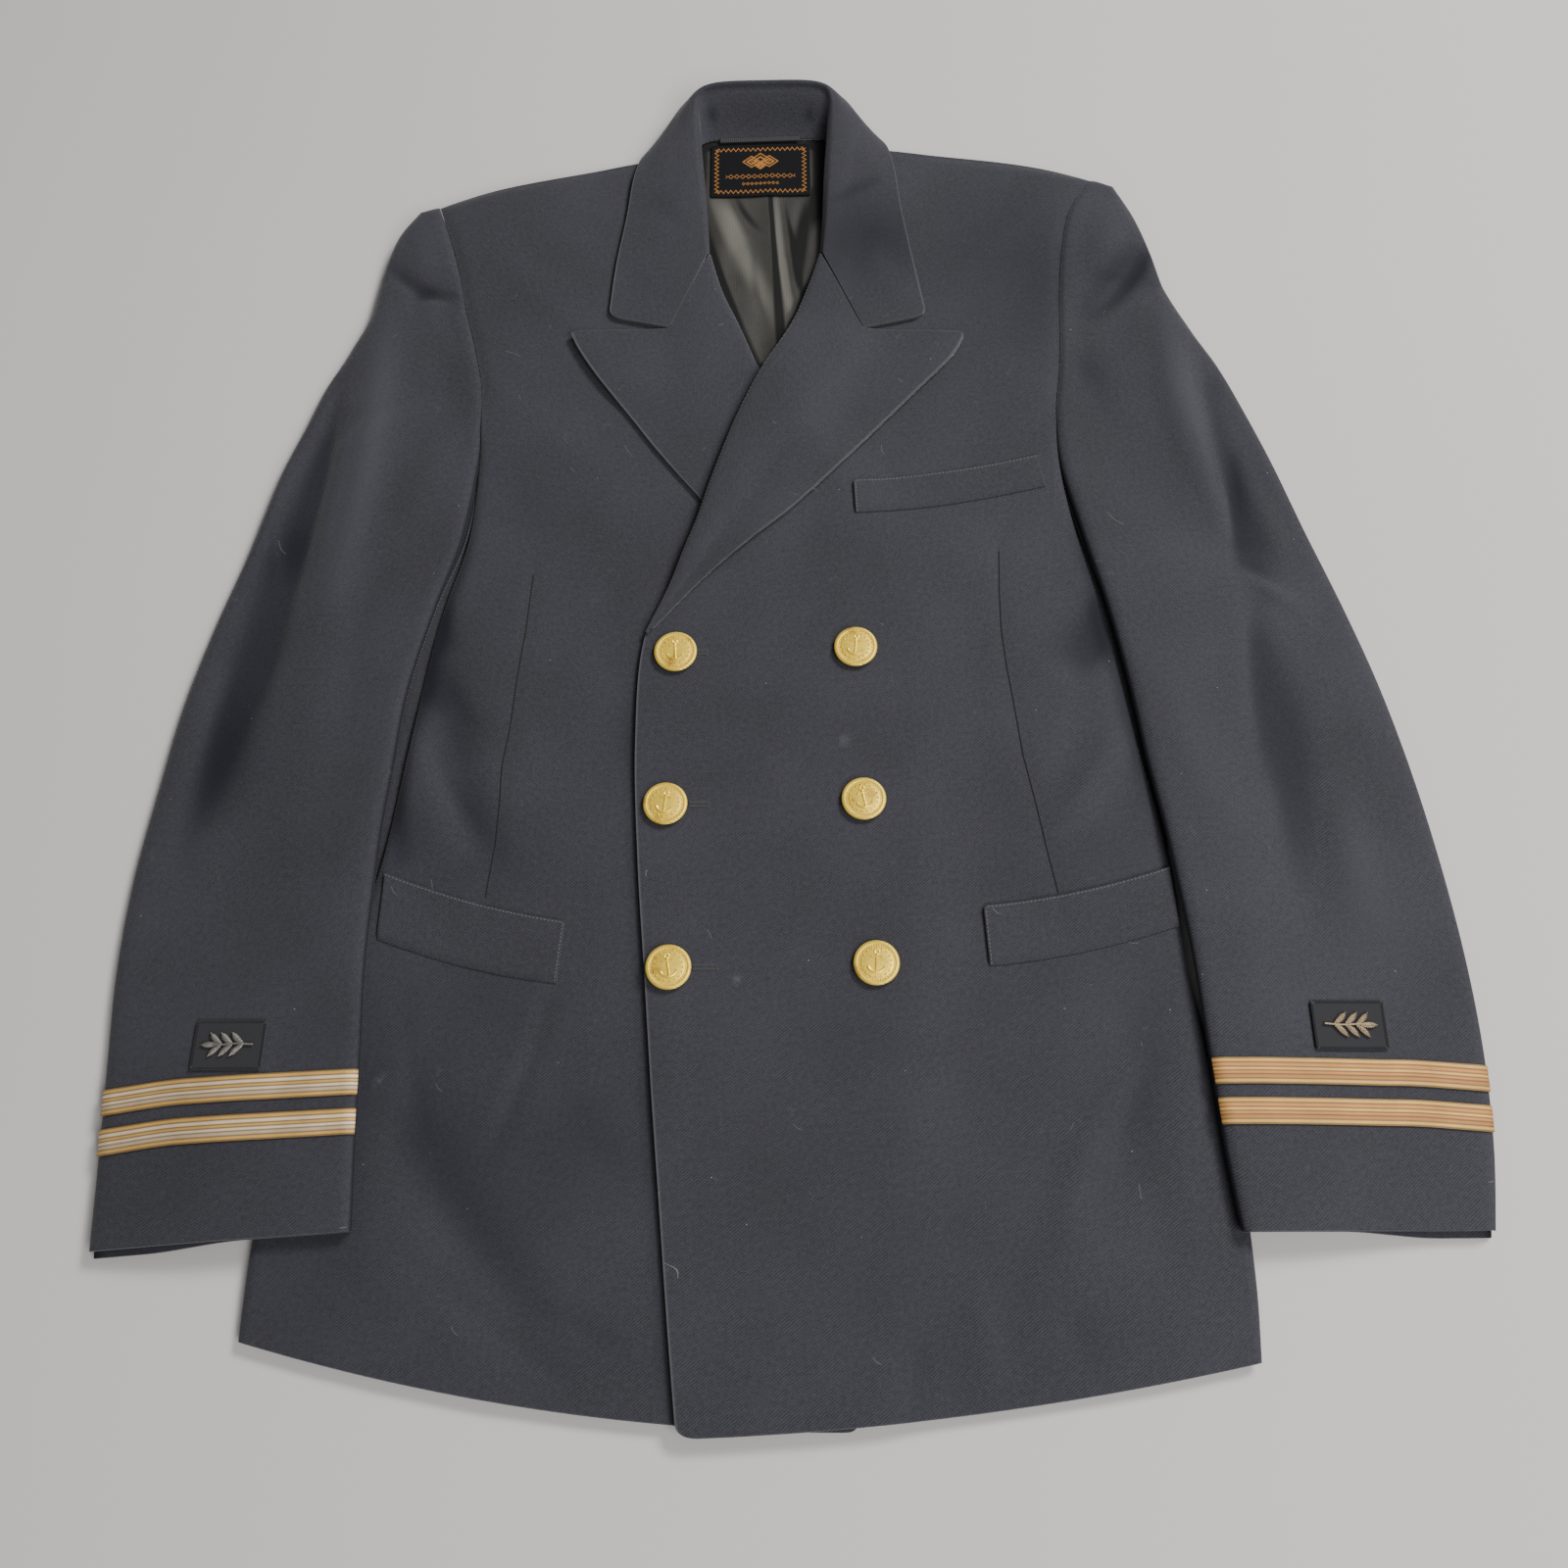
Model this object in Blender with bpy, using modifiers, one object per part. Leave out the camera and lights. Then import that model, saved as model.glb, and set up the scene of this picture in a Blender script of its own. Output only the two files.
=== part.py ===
"""A double-breasted naval uniform jacket, laid flat on its back.

Table sizes are in millimetres: x runs to the left front's side, y from the hem to the collar, and
z up from the surface that the jacket lies on. Each panel is a loft through the rows of a short
table. A row is one line across the panel, from its inner edge to its outer edge.
"""
import math
from collections import namedtuple

import bmesh
import bpy
from mathutils import Vector

MM = 0.001
JACKET = "naval_uniform_jacket"
MIDDLE = Vector((9.25, 168.9, 0.0))

# Cloth and the gaps between its layers
CLOTH = 2.4
FACED = 2.0
LINING = 1.0
SEAM_GAP = 0.3
LAYER_GAP = 0.45
SWELL = 2.5
LIFT = 5.0
BODY_TOP = CLOTH + LAYER_GAP + CLOTH + SWELL

# Edges that roll over
SIDE_ROLL = 5.0
SHOULDER_ROLL = 8.0
SLEEVE_ROLL = 7.0
LAPEL_ROLL = 3.5
COLLAR_ROLL = 4.4
LAPEL_SPRING = 1.6
ROLL_INSET = 4.0
RIM_GAP = 1.9

# Fittings
BUTTON_DIAMETER = 22.9
BUTTON_SIDES = 16
BUTTON_MERGE = 0.00001
LACE_WIDTH = 12.7
LACE_PITCH = 19.05
LACE_THICK = 0.9
WELT_THICK = 1.3
PATCH_THICK = 1.0
PATCH_GAP = 0.65
SPRIG_THICK = 1.2
LABEL_THICK = 1.0

# Spans of the soft steps between heights. Those in y are up the jacket
NECK_X = -4.0
SHOULDER_X = (95.0, 175.0)
SHOULDER_Y = (385.0, 470.0)
OVERLAP_FROM_EDGE = (-46.0, -6.0)
OVERLAP_TOP_Y = (372.0, 400.0)
UNDER_LAPEL_X = (34.0, 66.0)
UNDER_LAPEL_LOW_Y = (205.0, 242.0)
UNDER_LAPEL_TOP_Y = (362.0, 392.0)
SIDE_FOLD_TOP_Y = (285.0, 318.0)
SLEEVE_REST_X = (-102.0, -10.0)
SLEEVE_REST_LOW_Y = (62.0, 120.0)
SLEEVE_REST_TOP_Y = (245.0, 305.0)
SLEEVE_REST_UP = 0.5
HEM_ROWS = (0.0, 1.2)
HEM_HEIGHT = 0.35
ARMHOLE_ROWS = (-0.5, 1.0)
SLEEVE_HEAD_PITCH = 24.0
UNDER_SLEEVE_RIDGE = 0.8
LAPEL_KNEE = 0.5
LAPEL_ENDS = {"right": (2.0, 3.0), "left": (6.0, 8.0)}
LAPEL_TIP_ROWS = (5.6, 6.6)
LAPEL_NO_ROLL_ROWS = (2.6, 3.2)
TRIM_RISE = 0.3

Row = namedtuple("Row", "inner_x inner_y outer_x outer_y bow")
Bent = namedtuple("Bent", "roll_x roll_y knee_x knee_y edge_x edge_y")
Neck = namedtuple("Neck", "foot roll crown knee edge")
Fold = namedtuple("Fold", "x0 y0 x1 y1 bend width height")

# The right front goes under the left one. Its inner edge is the front edge, then the roll line
FRONT_RIGHT = [
    Row(42, -214, -245, -176, -10), Row(46, -165, -244, -135, -8), Row(51, -110, -240, -95, -5),
    Row(55, -60, -232, -50, -2), Row(60, 0, -215, 0, 0), Row(65, 60, -200, 52, 0),
    Row(67, 120, -190.5, 120, 0), Row(68, 180, -180.5, 190, 0), Row(46, 235, -168, 242, 0),
    Row(30, 272, -165.2, 288, 0), Row(8, 316, -165.2, 316, 0), Row(-4, 344, -167.2, 344, 0),
    Row(-14, 370, -172.7, 370, 0), Row(-24, 396, -179.7, 396, 0), Row(-35, 424, -184.7, 420, 0),
    Row(-47, 460, -191.7, 444, 2), Row(-52, 506, -200.2, 468, 4)]
FRONT_LEFT = [
    Row(-40, -217, 226, -184, -6), Row(-45, -170, 227, -150, -4), Row(-51, -110, 225, -105, -2),
    Row(-56, -60, 218, -55, 0), Row(-61, -5, 209, -5, 0), Row(-66.5, 55, 204, 55, 0),
    Row(-70, 120, 192, 120, 0), Row(-67, 181, 180.5, 190, 0), Row(-47, 232, 168, 246, 0),
    Row(-35, 272, 161.7, 288, 0), Row(-20, 316, 161.2, 320, 0), Row(-7, 346, 164.7, 348, 0),
    Row(6, 372, 166.7, 376, 0), Row(18, 400, 167.9, 404, 0), Row(31, 428, 170.7, 432, 0),
    Row(41, 464, 176.7, 458, 2), Row(44, 511, 191.2, 480.5, 4)]
BREAK_ROW = 7

# The back's outline lies just inside the fronts', and under the sleeves at the underarm
BACK_RIGHT = [
    Row(-4.15, -208, -243, -173, -4), Row(-4.15, -125, -242, -125, 0),
    Row(-4.15, -45, -230, -45, 0), Row(-4.15, 30, -205, 30, 0), Row(-4.15, 110, -201, 110, 0),
    Row(-4.15, 180, -193, 182, 0), Row(-4.15, 242, -171.5, 242, 0),
    Row(-4.15, 290, -165.2, 288, 0), Row(-4.15, 325, -165.2, 316, 0),
    Row(-4.15, 360, -167.2, 344, 0), Row(-4.15, 395, -172.7, 370, 0),
    Row(-4.15, 430, -179.7, 396, 0), Row(-4.15, 460, -184.7, 420, 0),
    Row(-4.15, 490, -191.7, 444, 0), Row(-4.15, 520.5, -200.2, 468, -2)]
BACK_LEFT = [
    Row(-3.85, -208, 224, -181, -4), Row(-3.85, -125, 225, -130, 0),
    Row(-3.85, -45, 215, -45, 0), Row(-3.85, 30, 205, 30, 0), Row(-3.85, 110, 203, 110, 0),
    Row(-3.85, 180, 193, 186, 0), Row(-3.85, 242, 171.5, 246, 0),
    Row(-3.85, 290, 161.7, 288, 0), Row(-3.85, 325, 161.2, 320, 0),
    Row(-3.85, 360, 164.7, 348, 0), Row(-3.85, 395, 166.7, 376, 0),
    Row(-3.85, 430, 167.9, 404, 0), Row(-3.85, 460, 170.7, 432, 0),
    Row(-3.85, 490, 176.7, 458, 0), Row(-3.85, 520.5, 191.2, 480.5, -2)]
BACK_LINING = [
    Row(-62, 330, 52, 330, 0), Row(-62, 380, 52, 380, 0), Row(-60, 430, 50, 430, 0),
    Row(-56, 480, 46, 480, 0), Row(-40, 519.3, 32, 519.3, 0)]

# Sleeves run from the armhole to the cuff. SLEEVE_FREE is the row where the armhole seam ends
SLEEVE_RIGHT = [
    Row(-200.5, 468, -212, 464, 0), Row(-192, 444, -224, 446, 0), Row(-185, 420, -231, 421, 0),
    Row(-180, 396, -236, 393, 0), Row(-173, 370, -247, 367, 0), Row(-167.5, 344, -258, 344, 0),
    Row(-165.5, 316, -267, 317, 0), Row(-165.5, 288, -278, 285, 0), Row(-170, 242, -290, 237, 0),
    Row(-182, 198, -303, 192, 0), Row(-192.5, 150, -314, 145, 0), Row(-197, 96, -321.5, 92, 0),
    Row(-199, 50, -327, 46, 0), Row(-200, 3, -328.5, -2, 0), Row(-198, -42, -326, -48, 0),
    Row(-196, -86, -323, -93, 0), Row(-194, -127, -320.5, -136, 0)]
SLEEVE_LEFT = [
    Row(191.5, 480.5, 204, 475, 0), Row(177, 458, 214.5, 453, 0), Row(171, 432, 222.5, 430, 0),
    Row(168.2, 404, 230, 402, 0), Row(167, 376, 242, 376, 0), Row(165, 348, 256, 350, 0),
    Row(161.5, 320, 268, 320, 0), Row(162, 288, 280, 286, 0), Row(170, 246, 293, 244, 0),
    Row(181, 200, 308, 198, 0), Row(189.5, 153, 321, 153, 0), Row(196, 105, 331.5, 105, 0),
    Row(203, 55, 339.5, 55, 0), Row(209, 5, 345, 5, 0), Row(212.5, -43, 347, -43, 0),
    Row(216, -88, 345, -88, 0), Row(220.5, -127, 340, -126, 0)]
SLEEVE_FREE = 6

# Lapels run from the gorge down the roll line
LAPEL_RIGHT = [
    Bent(-36.2, 432.6, -58.7, 379.1, -117, 377), Bent(-29, 407, -55, 366, -111, 364),
    Bent(-18, 381, -49, 350, -99, 345), Bent(-6, 350, -38, 331, -81, 321),
    Bent(3, 331, -24, 314, -66, 300), Bent(-6, 303, -26, 293, -52, 282),
    Bent(-15, 275, -25, 270, -38, 265), Bent(-19, 255, -23, 253, -28, 252)]
LAPEL_LEFT = [
    Bent(27.8, 432.6, 52.9, 376.8, 112, 373), Bent(21, 410, 49, 364, 103, 356),
    Bent(8, 375, 38, 345, 82, 333), Bent(-8, 345, 20, 322, 60, 309), Bent(-22, 312, 3, 297, 36, 282),
    Bent(-34, 276, -13, 268, 11, 256), Bent(-43, 245, -30, 241, -13, 235),
    Bent(-54, 212, -47, 212, -39, 211), Bent(-66.5, 183, -65, 184, -62.5, 185)]

# The collar's sections, from the right front's gorge round the neck to the left front's
COLLAR = [
    Neck((-38.4, 432.0, 5.9), (-36.9, 433.1, 8.4), 11.9, (-59.2, 379.7, 10.9), (-95, 388, 10.5)),
    Neck((-42, 462, 6.4), (-38.5, 458, 9.2), 12.6, (-62, 425, 11.8), (-92, 424, 10.7)),
    Neck((-44, 490, 6.6), (-41, 487, 10.7), 14.0, (-63, 467, 12.6), (-87, 459, 10.8)),
    Neck((-45, 510, 6.2), (-43.5, 516, 14.0), 16.8, (-62, 505, 14.6), (-83, 491, 11.4)),
    Neck((-40, 520.0, 4.6), (-44.5, 538, 19.0), 20.6, (-60, 532, 14.0), (-75, 512, 7.5)),
    Neck((-25, 521.7, 3.9), (-35, 544.5, 21.5), 22.8, (-42, 552, 12.5), (-46, 540, 2.8)),
    Neck((-4, 522.0, 3.8), (-4, 545, 22.0), 23.2, (-4, 554.5, 12.5), (-4, 544, 2.8)),
    Neck((17, 521.9, 3.9), (25, 544.5, 21.5), 22.8, (31, 552.5, 12.5), (36, 541, 2.8)),
    Neck((30, 520.5, 4.6), (33.5, 539, 19.0), 20.6, (49, 535, 14.0), (64, 519, 7.5)),
    Neck((36, 511, 6.2), (33, 518, 14.0), 16.8, (51, 508, 14.6), (72.5, 498, 11.4)),
    Neck((36, 490, 6.6), (31, 486, 10.7), 14.0, (54, 470, 12.6), (77, 463, 10.8)),
    Neck((34, 462, 6.4), (30, 457, 9.2), 12.6, (55, 425, 11.8), (83, 426, 10.7)),
    Neck((30, 432.0, 5.9), (28.5, 433.1, 8.4), 11.9, (53.5, 377.5, 10.9), (90, 386, 10.5))]

# The largest folds: ridges are above zero, troughs below
FOLDS_FRONT_RIGHT = [
    Fold(-182, 205, -150, 110, 6, 14, -1.9), Fold(-150, 215, -128, 60, 4, 22, 1.0),
    Fold(-196, -60, -105, -195, 14, 20, 1.3), Fold(-160, 20, -80, -120, -10, 26, -1.2)]
FOLDS_FRONT_LEFT = [
    Fold(176, 205, 150, 160, -5, 14, -1.9), Fold(165, 170, 150, 70, 5, 20, 1.1),
    Fold(165, -20, 140, -165, 12, 22, 1.3), Fold(200, 10, 175, -120, 8, 18, -1.3)]
FOLDS_SLEEVE_RIGHT = [
    Fold(-226, 415, -243, 180, -5, 13, 5.0), Fold(-245, 330, -292, 70, 8, 13, -2.4),
    Fold(-170, 330, -205, 250, 3, 10, 1.2), Fold(-180, 418, -215, 398, 4, 7, -1.4)]
FOLDS_SLEEVE_LEFT = [
    Fold(226, 405, 250, 235, 4, 13, 5.0), Fold(243, 350, 268, 205, -5, 11, -2.4),
    Fold(261, 190, 272, 10, -4, 16, -2.0), Fold(225, 250, 236, 40, 4, 24, 1.4),
    Fold(172, 370, 214, 432, -4, 8, -1.4)]
FOLDS_LINING = [
    Fold(-2, 520, 5, 335, 0, 5, 0.7), Fold(-30, 470, -22, 350, 5, 6, 0.5),
    Fold(24, 480, 16, 360, -4, 6, 0.5)]

# Welts: corners from the front end, top then bottom, and how far the top edge bows
Welt = namedtuple("Welt", "front top_x top_y end_x end_y end_low_x end_low_y low_x low_y bow")
WELTS = {
    "welt_lower_right": Welt("right", -102, 24, -196, 50, -197, 15, -105, -8, -3),
    "welt_lower_left": Welt("left", 108, 31, 202.5, 51, 205, 20, 110, 0, -3),
    "welt_breast": Welt("left", 46, 276, 149, 292, 153, 272, 47, 255, -2)}
# A button's half section from its face to its back: share of the radius, and height
BUTTON_SECTION = [(0.0, 3.6), (0.45, 3.35), (0.8, 2.6), (0.86, 2.7), (1.0, 2.1), (1.0, 1.2),
                  (0.82, 0.2), (0.0, 0.0)]
BUTTONS = [
    ("right_top", -50, 171), ("right_middle", -53, 85), ("right_low", -49, -1),
    ("left_top", 46, 173), ("left_middle", 49, 87), ("left_low", 54, 1)]
LACE_FROM_CUFF = {"right": 45.5, "left": 48.0}
Patch = namedtuple("Patch", "x y width height turn")
PATCHES = {"right": Patch(-263, -39.5, 36, 24.5, -0.02),
           "left": Patch(282, -30.5, 36.5, 24.0, 0.02)}
LABEL = Patch(-7.5, 497.0, 60.5, 39.0, 0.01)
LOOP = Patch(-8, 520.2, 49, 3.2, 0.02)
SPRIG_STEM = 13.0
SPRIG_LEAN = 42.0
SPRIG_LEAF = (9.0, 3.4)
SPRIG_ROOTS = (-8.5, -3.0, 2.5)
SPRIG_POINTS = 4


def clamp(value):
    return min(1.0, max(0.0, value))


def ramp(value, start, end):
    """A soft step from 0 at start to 1 at end."""
    t = clamp((value - start) / (end - start))
    return t * t * (3.0 - 2.0 * t)


def rounded(distance, radius):
    """Height share of an edge that rolls over a quarter circle."""
    t = 1.0 - clamp(distance / radius)
    return math.sqrt(max(0.0, 1.0 - t * t))


def through(values, t):
    """A smooth curve through evenly numbered values, at the fractional number t."""
    last = len(values) - 1
    i = min(int(t), last - 1)
    f = t - i
    a, b = values[max(i - 1, 0)], values[i]
    c, d = values[i + 1], values[min(i + 2, last)]
    return 0.5 * (2 * b + (c - a) * f + (2 * a - 5 * b + 4 * c - d) * f * f
                  + (3 * b - a - 3 * c + d) * f ** 3)


def row_at(table, t):
    """The table's columns at the fractional row t."""
    return [through([row[k] for row in table], t) for k in range(len(table[0]))]


def fold_height(folds, x, y):
    """The sum of the soft ridges and troughs at a place."""
    total = 0.0
    for fold in folds:
        dx, dy = fold.x1 - fold.x0, fold.y1 - fold.y0
        length = math.hypot(dx, dy)
        along = ((x - fold.x0) * dx + (y - fold.y0) * dy) / length ** 2
        if 0.0 < along < 1.0:
            fade = math.sin(math.pi * along)
            off = ((x - fold.x0) * dy - (y - fold.y0) * dx) / length - fold.bend * fade
            total += fold.height * fade ** 0.7 * math.exp(-(off / fold.width) ** 2)
    return total


def shoulder_lift(x, y):
    """The padded shoulders hold every layer off the surface."""
    return LIFT * ramp(y, *SHOULDER_Y) * ramp(abs(x - NECK_X), *SHOULDER_X)


def edge_x(table, y):
    """Where a front's inner edge is at a height y."""
    rows = [(row.inner_y, row.inner_x) for row in table]
    for (y0, x0), (y1, x1) in zip(rows, rows[1:]):
        if y <= y1:
            return x0 + (x1 - x0) * clamp((y - y0) / (y1 - y0))
    return rows[-1][1]


def overlap_lift(x, y):
    """What lies under the left front raises it: the right front, and near V the right lapel."""
    over_front = ramp(edge_x(FRONT_RIGHT, y) - x, *OVERLAP_FROM_EDGE)
    over_front *= 1.0 - ramp(y, *OVERLAP_TOP_Y)
    from_roll = x - edge_x(FRONT_LEFT, y)
    over_lapel = 1.0 - ramp(from_roll, *UNDER_LAPEL_X)
    over_lapel *= ramp(y, *UNDER_LAPEL_LOW_Y) * (1.0 - ramp(y, *UNDER_LAPEL_TOP_Y))
    return (CLOTH + LAYER_GAP) * over_front + (FACED + LAYER_GAP) * over_lapel


def front_top(side, x, y):
    """Outer surface of a front, away from its rolled edges."""
    height = BODY_TOP + shoulder_lift(x, y)
    if side == "right":
        return height + fold_height(FOLDS_FRONT_RIGHT, x, y)
    return height + overlap_lift(x, y) + fold_height(FOLDS_FRONT_LEFT, x, y)


def row_point(row, s):
    """A point of a cross line, s from 0 at the inner edge to 1 at the outer edge."""
    inner_x, inner_y, outer_x, outer_y, bow = row
    return (inner_x + (outer_x - inner_x) * s,
            inner_y + (outer_y - inner_y) * s + bow * 4.0 * s * (1.0 - s))


def front_point(side, t, s):
    """A point of a front's outer surface."""
    table = FRONT_RIGHT if side == "right" else FRONT_LEFT
    row = row_at(table, t)
    inset = ROLL_INSET * ramp(t, BREAK_ROW, BREAK_ROW + 1.0)
    row[0] += math.copysign(inset, row[2] - row[0])
    width = abs(row[2] - row[0])
    x, y = row_point(row, s)
    top_x, top_y = row_point(row_at(table, len(table) - 1), s)
    side_roll = rounded((1.0 - s) * width, SIDE_ROLL)
    side_roll += (1.0 - side_roll) * ramp(y, *SIDE_FOLD_TOP_Y)
    shoulder = rounded(math.hypot(top_x - x, top_y - y), SHOULDER_ROLL)
    hem = HEM_HEIGHT + (1.0 - HEM_HEIGHT) * ramp(t, *HEM_ROWS)
    low = CLOTH + RIM_GAP + shoulder_lift(x, y)
    high = front_top(side, x, y) - SWELL * (1.0 - hem)
    return Vector((x, y, low + (high - low) * min(side_roll, shoulder)))


def back_point(table, t, s):
    """A point of a back half's upper surface, flat but for the shoulders."""
    x, y = row_point(row_at(table, t), s)
    return Vector((x, y, CLOTH + shoulder_lift(x, y)))


def lining_point(t, s):
    """A point of the back lining that shows in the neck."""
    x, y = row_point(row_at(BACK_LINING, t), s)
    return Vector((x, y, CLOTH + SEAM_GAP + LINING + fold_height(FOLDS_LINING, x, y)))


def body_support(side, x, y):
    """Height of the body's edge under a sleeve that lies on it."""
    table = FRONT_RIGHT if side == "right" else FRONT_LEFT
    rows = [(row.outer_y, abs(row.outer_x)) for row in table]
    edge = rows[0][1]
    for (y0, x0), (y1, x1) in zip(rows, rows[1:]):
        if y0 <= y <= y1:
            edge = x0 + (x1 - x0) * (y - y0) / (y1 - y0)
    reach = ramp(edge - abs(x), *SLEEVE_REST_X)
    share = 1.0 - SLEEVE_REST_UP * ramp(y, *SLEEVE_REST_LOW_Y)
    share *= 1.0 - ramp(y, *SLEEVE_REST_TOP_Y)
    ridge = max(0.0, fold_height(FOLDS_FRONT_RIGHT if side == "right" else FOLDS_FRONT_LEFT, x, y))
    return (BODY_TOP + LAYER_GAP + ridge) * reach * share


def sleeve_frame(side, t, s):
    """Plan place, lift and folds at a place of a sleeve."""
    table = SLEEVE_RIGHT if side == "right" else SLEEVE_LEFT
    row = row_at(table, t)
    x, y = row_point(row, s)
    folds = fold_height(FOLDS_SLEEVE_RIGHT if side == "right" else FOLDS_SLEEVE_LEFT, x, y)
    lift = shoulder_lift(x, y) + body_support(side, x, y)
    return x, y, math.hypot(row[2] - row[0], row[3] - row[1]), lift, folds


def sleeve_point(side, t, s):
    """A point of a top sleeve's outer surface, rolled over at both edges."""
    x, y, width, lift, folds = sleeve_frame(side, t, s)
    radius = min(SLEEVE_ROLL, 0.45 * width)
    free = ramp(t - SLEEVE_FREE, *ARMHOLE_ROWS)
    inner = rounded(s * width, radius)
    inner += (1.0 - inner) * (1.0 - free)
    outer = rounded((1.0 - s) * width, radius)
    head = rounded(t * SLEEVE_HEAD_PITCH, SHOULDER_ROLL)
    low = CLOTH + RIM_GAP + lift + UNDER_SLEEVE_RIDGE * max(0.0, folds)
    high = BODY_TOP + lift + folds
    return Vector((x, y, low + (high - low) * min(inner, outer, head)))


def under_sleeve_point(side, t, s):
    """A point of an under sleeve's upper surface, which follows the large ridges."""
    x, y, width, lift, folds = sleeve_frame(side, t, s)
    return Vector((x, y, CLOTH + lift + UNDER_SLEEVE_RIDGE * max(0.0, folds)))


def bent_point(row, s):
    """A point of a lapel's cross line, which turns at its knee."""
    if s < LAPEL_KNEE:
        f = s / LAPEL_KNEE
        return (row[0] + (row[2] - row[0]) * f, row[1] + (row[3] - row[1]) * f)
    f = (s - LAPEL_KNEE) / (1.0 - LAPEL_KNEE)
    return (row[2] + (row[4] - row[2]) * f, row[3] + (row[5] - row[3]) * f)


def lapel_point(side, t, s):
    """A point of a lapel's outer surface, which rolls down round the front's edge."""
    table = LAPEL_RIGHT if side == "right" else LAPEL_LEFT
    row = row_at(table, t)
    x, y = bent_point(row, s)
    width = math.hypot(row[4] - row[0], row[5] - row[1])
    fade = 1.0 - ramp(t, *LAPEL_ENDS[side])
    spring = LAPEL_SPRING * fade * math.sin(math.pi * min(1.0, 1.6 * s + 0.1))
    under = front_top(side, x, y)
    high = under + LAYER_GAP + FACED + spring
    tip = 0.0 if side == "right" else ramp(t, *LAPEL_TIP_ROWS)
    low = under - CLOTH * (1.0 - tip) + (RIM_GAP + LAYER_GAP) * tip
    roll = rounded(s * width, min(LAPEL_ROLL, 0.3 * width))
    if side == "right":
        roll += (1.0 - roll) * ramp(t, *LAPEL_NO_ROLL_ROWS)
    return Vector((x, y, low + (high - low) * roll))


def collar_point(t, q):
    """A point of the collar's visible surface: foot, stand, roll, leaf and edge."""
    foot, roll, knee, edge = (
        Vector([through([getattr(row, part)[i] for row in COLLAR], t) for i in range(3)])
        for part in ("foot", "roll", "knee", "edge"))
    over = roll.lerp(knee, COLLAR_ROLL / math.dist(roll.xy, knee.xy))
    over.z = through([row.crown for row in COLLAR], t)
    corners = [foot, roll, over, knee, edge]
    low = min(int(q), len(corners) - 2)
    flat = corners[low].lerp(corners[low + 1], q - low)
    return Vector((flat.x, flat.y, through([corner.z for corner in corners], q)))


def grid(name, columns, rows, point, flip=False):
    """An open surface through point(row, column)."""
    mesh = bpy.data.meshes.new(name)
    bm = bmesh.new()
    verts = [[bm.verts.new((point(t, s) - MIDDLE) * MM) for s in columns] for t in rows]
    for low, high in zip(verts, verts[1:]):
        for k in range(len(columns) - 1):
            face = [low[k], low[k + 1], high[k + 1], high[k]]
            bm.faces.new(face[::-1] if flip else face)
    bm.to_mesh(mesh)
    bm.free()
    mesh.shade_smooth()
    return mesh


def spread(cells, width, roll_start, roll_end):
    """Shares across a panel, closer together on the edges that roll over."""
    steps = (0.0, 0.13, 0.5)
    start = [roll_start * k / width for k in steps] if roll_start else [0.0]
    end = [1.0 - roll_end * k / width for k in reversed(steps)] if roll_end else [1.0]
    first = roll_start / width if roll_start else 0.0
    last = 1.0 - roll_end / width if roll_end else 1.0
    inside = [first + (last - first) * k / cells for k in range(cells + 1)]
    return start + [v for v in inside if start[-1] < v < end[0]] + end


def stations(table, steps, end_shares=()):
    """Fractional rows for a mesh, with closer ones in the table's last gap."""
    last = len(table) - 1
    evenly = [i / steps for i in range(last * steps + 1)]
    return sorted(set(evenly) | {last - share for share in end_shares})


def material(name, colour, roughness, metallic=0.0):
    made = bpy.data.materials.new(name)
    made.use_nodes = True
    shader = made.node_tree.nodes["Principled BSDF"]
    shader.inputs["Base Color"].default_value = (*colour, 1.0)
    shader.inputs["Roughness"].default_value = roughness
    shader.inputs["Metallic"].default_value = metallic
    return made


def place(name, mesh, made, collection, parent):
    piece = bpy.data.objects.new(name, mesh)
    collection.objects.link(piece)
    piece.data.materials.append(made)
    piece.parent = parent
    return piece


def wall(piece, thickness):
    """Give an open surface its cloth, inwards from the surface that shows."""
    solid = piece.modifiers.new("Cloth", "SOLIDIFY")
    solid.thickness = thickness * MM
    solid.offset = -1.0
    solid.use_even_offset = True
    solid.use_quality_normals = True
    return piece


def build_body(cloth, lining, collection, parent):
    """Back halves, back lining and the two fronts."""
    roll = [0.03, 0.12, 0.28]
    for name, table, flip in (("back_right", BACK_RIGHT, True), ("back_left", BACK_LEFT, False)):
        mesh = grid(name, [k / 5 for k in range(6)], stations(table, 2),
                    lambda t, s, table=table: back_point(table, t, s), flip)
        wall(place(name, mesh, cloth, collection, parent), CLOTH)
    mesh = grid("back_lining", [k / 12 for k in range(13)], stations(BACK_LINING, 3),
                lining_point)
    wall(place("back_lining", mesh, lining, collection, parent), LINING)
    for side, table, flip in (("right", FRONT_RIGHT, True), ("left", FRONT_LEFT, False)):
        name = "front_" + side
        columns = spread(12, 240.0, 0.0, SIDE_ROLL)
        mesh = grid(name, columns, stations(table, 2, roll),
                    lambda t, s, side=side: front_point(side, t, s), flip)
        wall(place(name, mesh, cloth, collection, parent), CLOTH)


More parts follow.
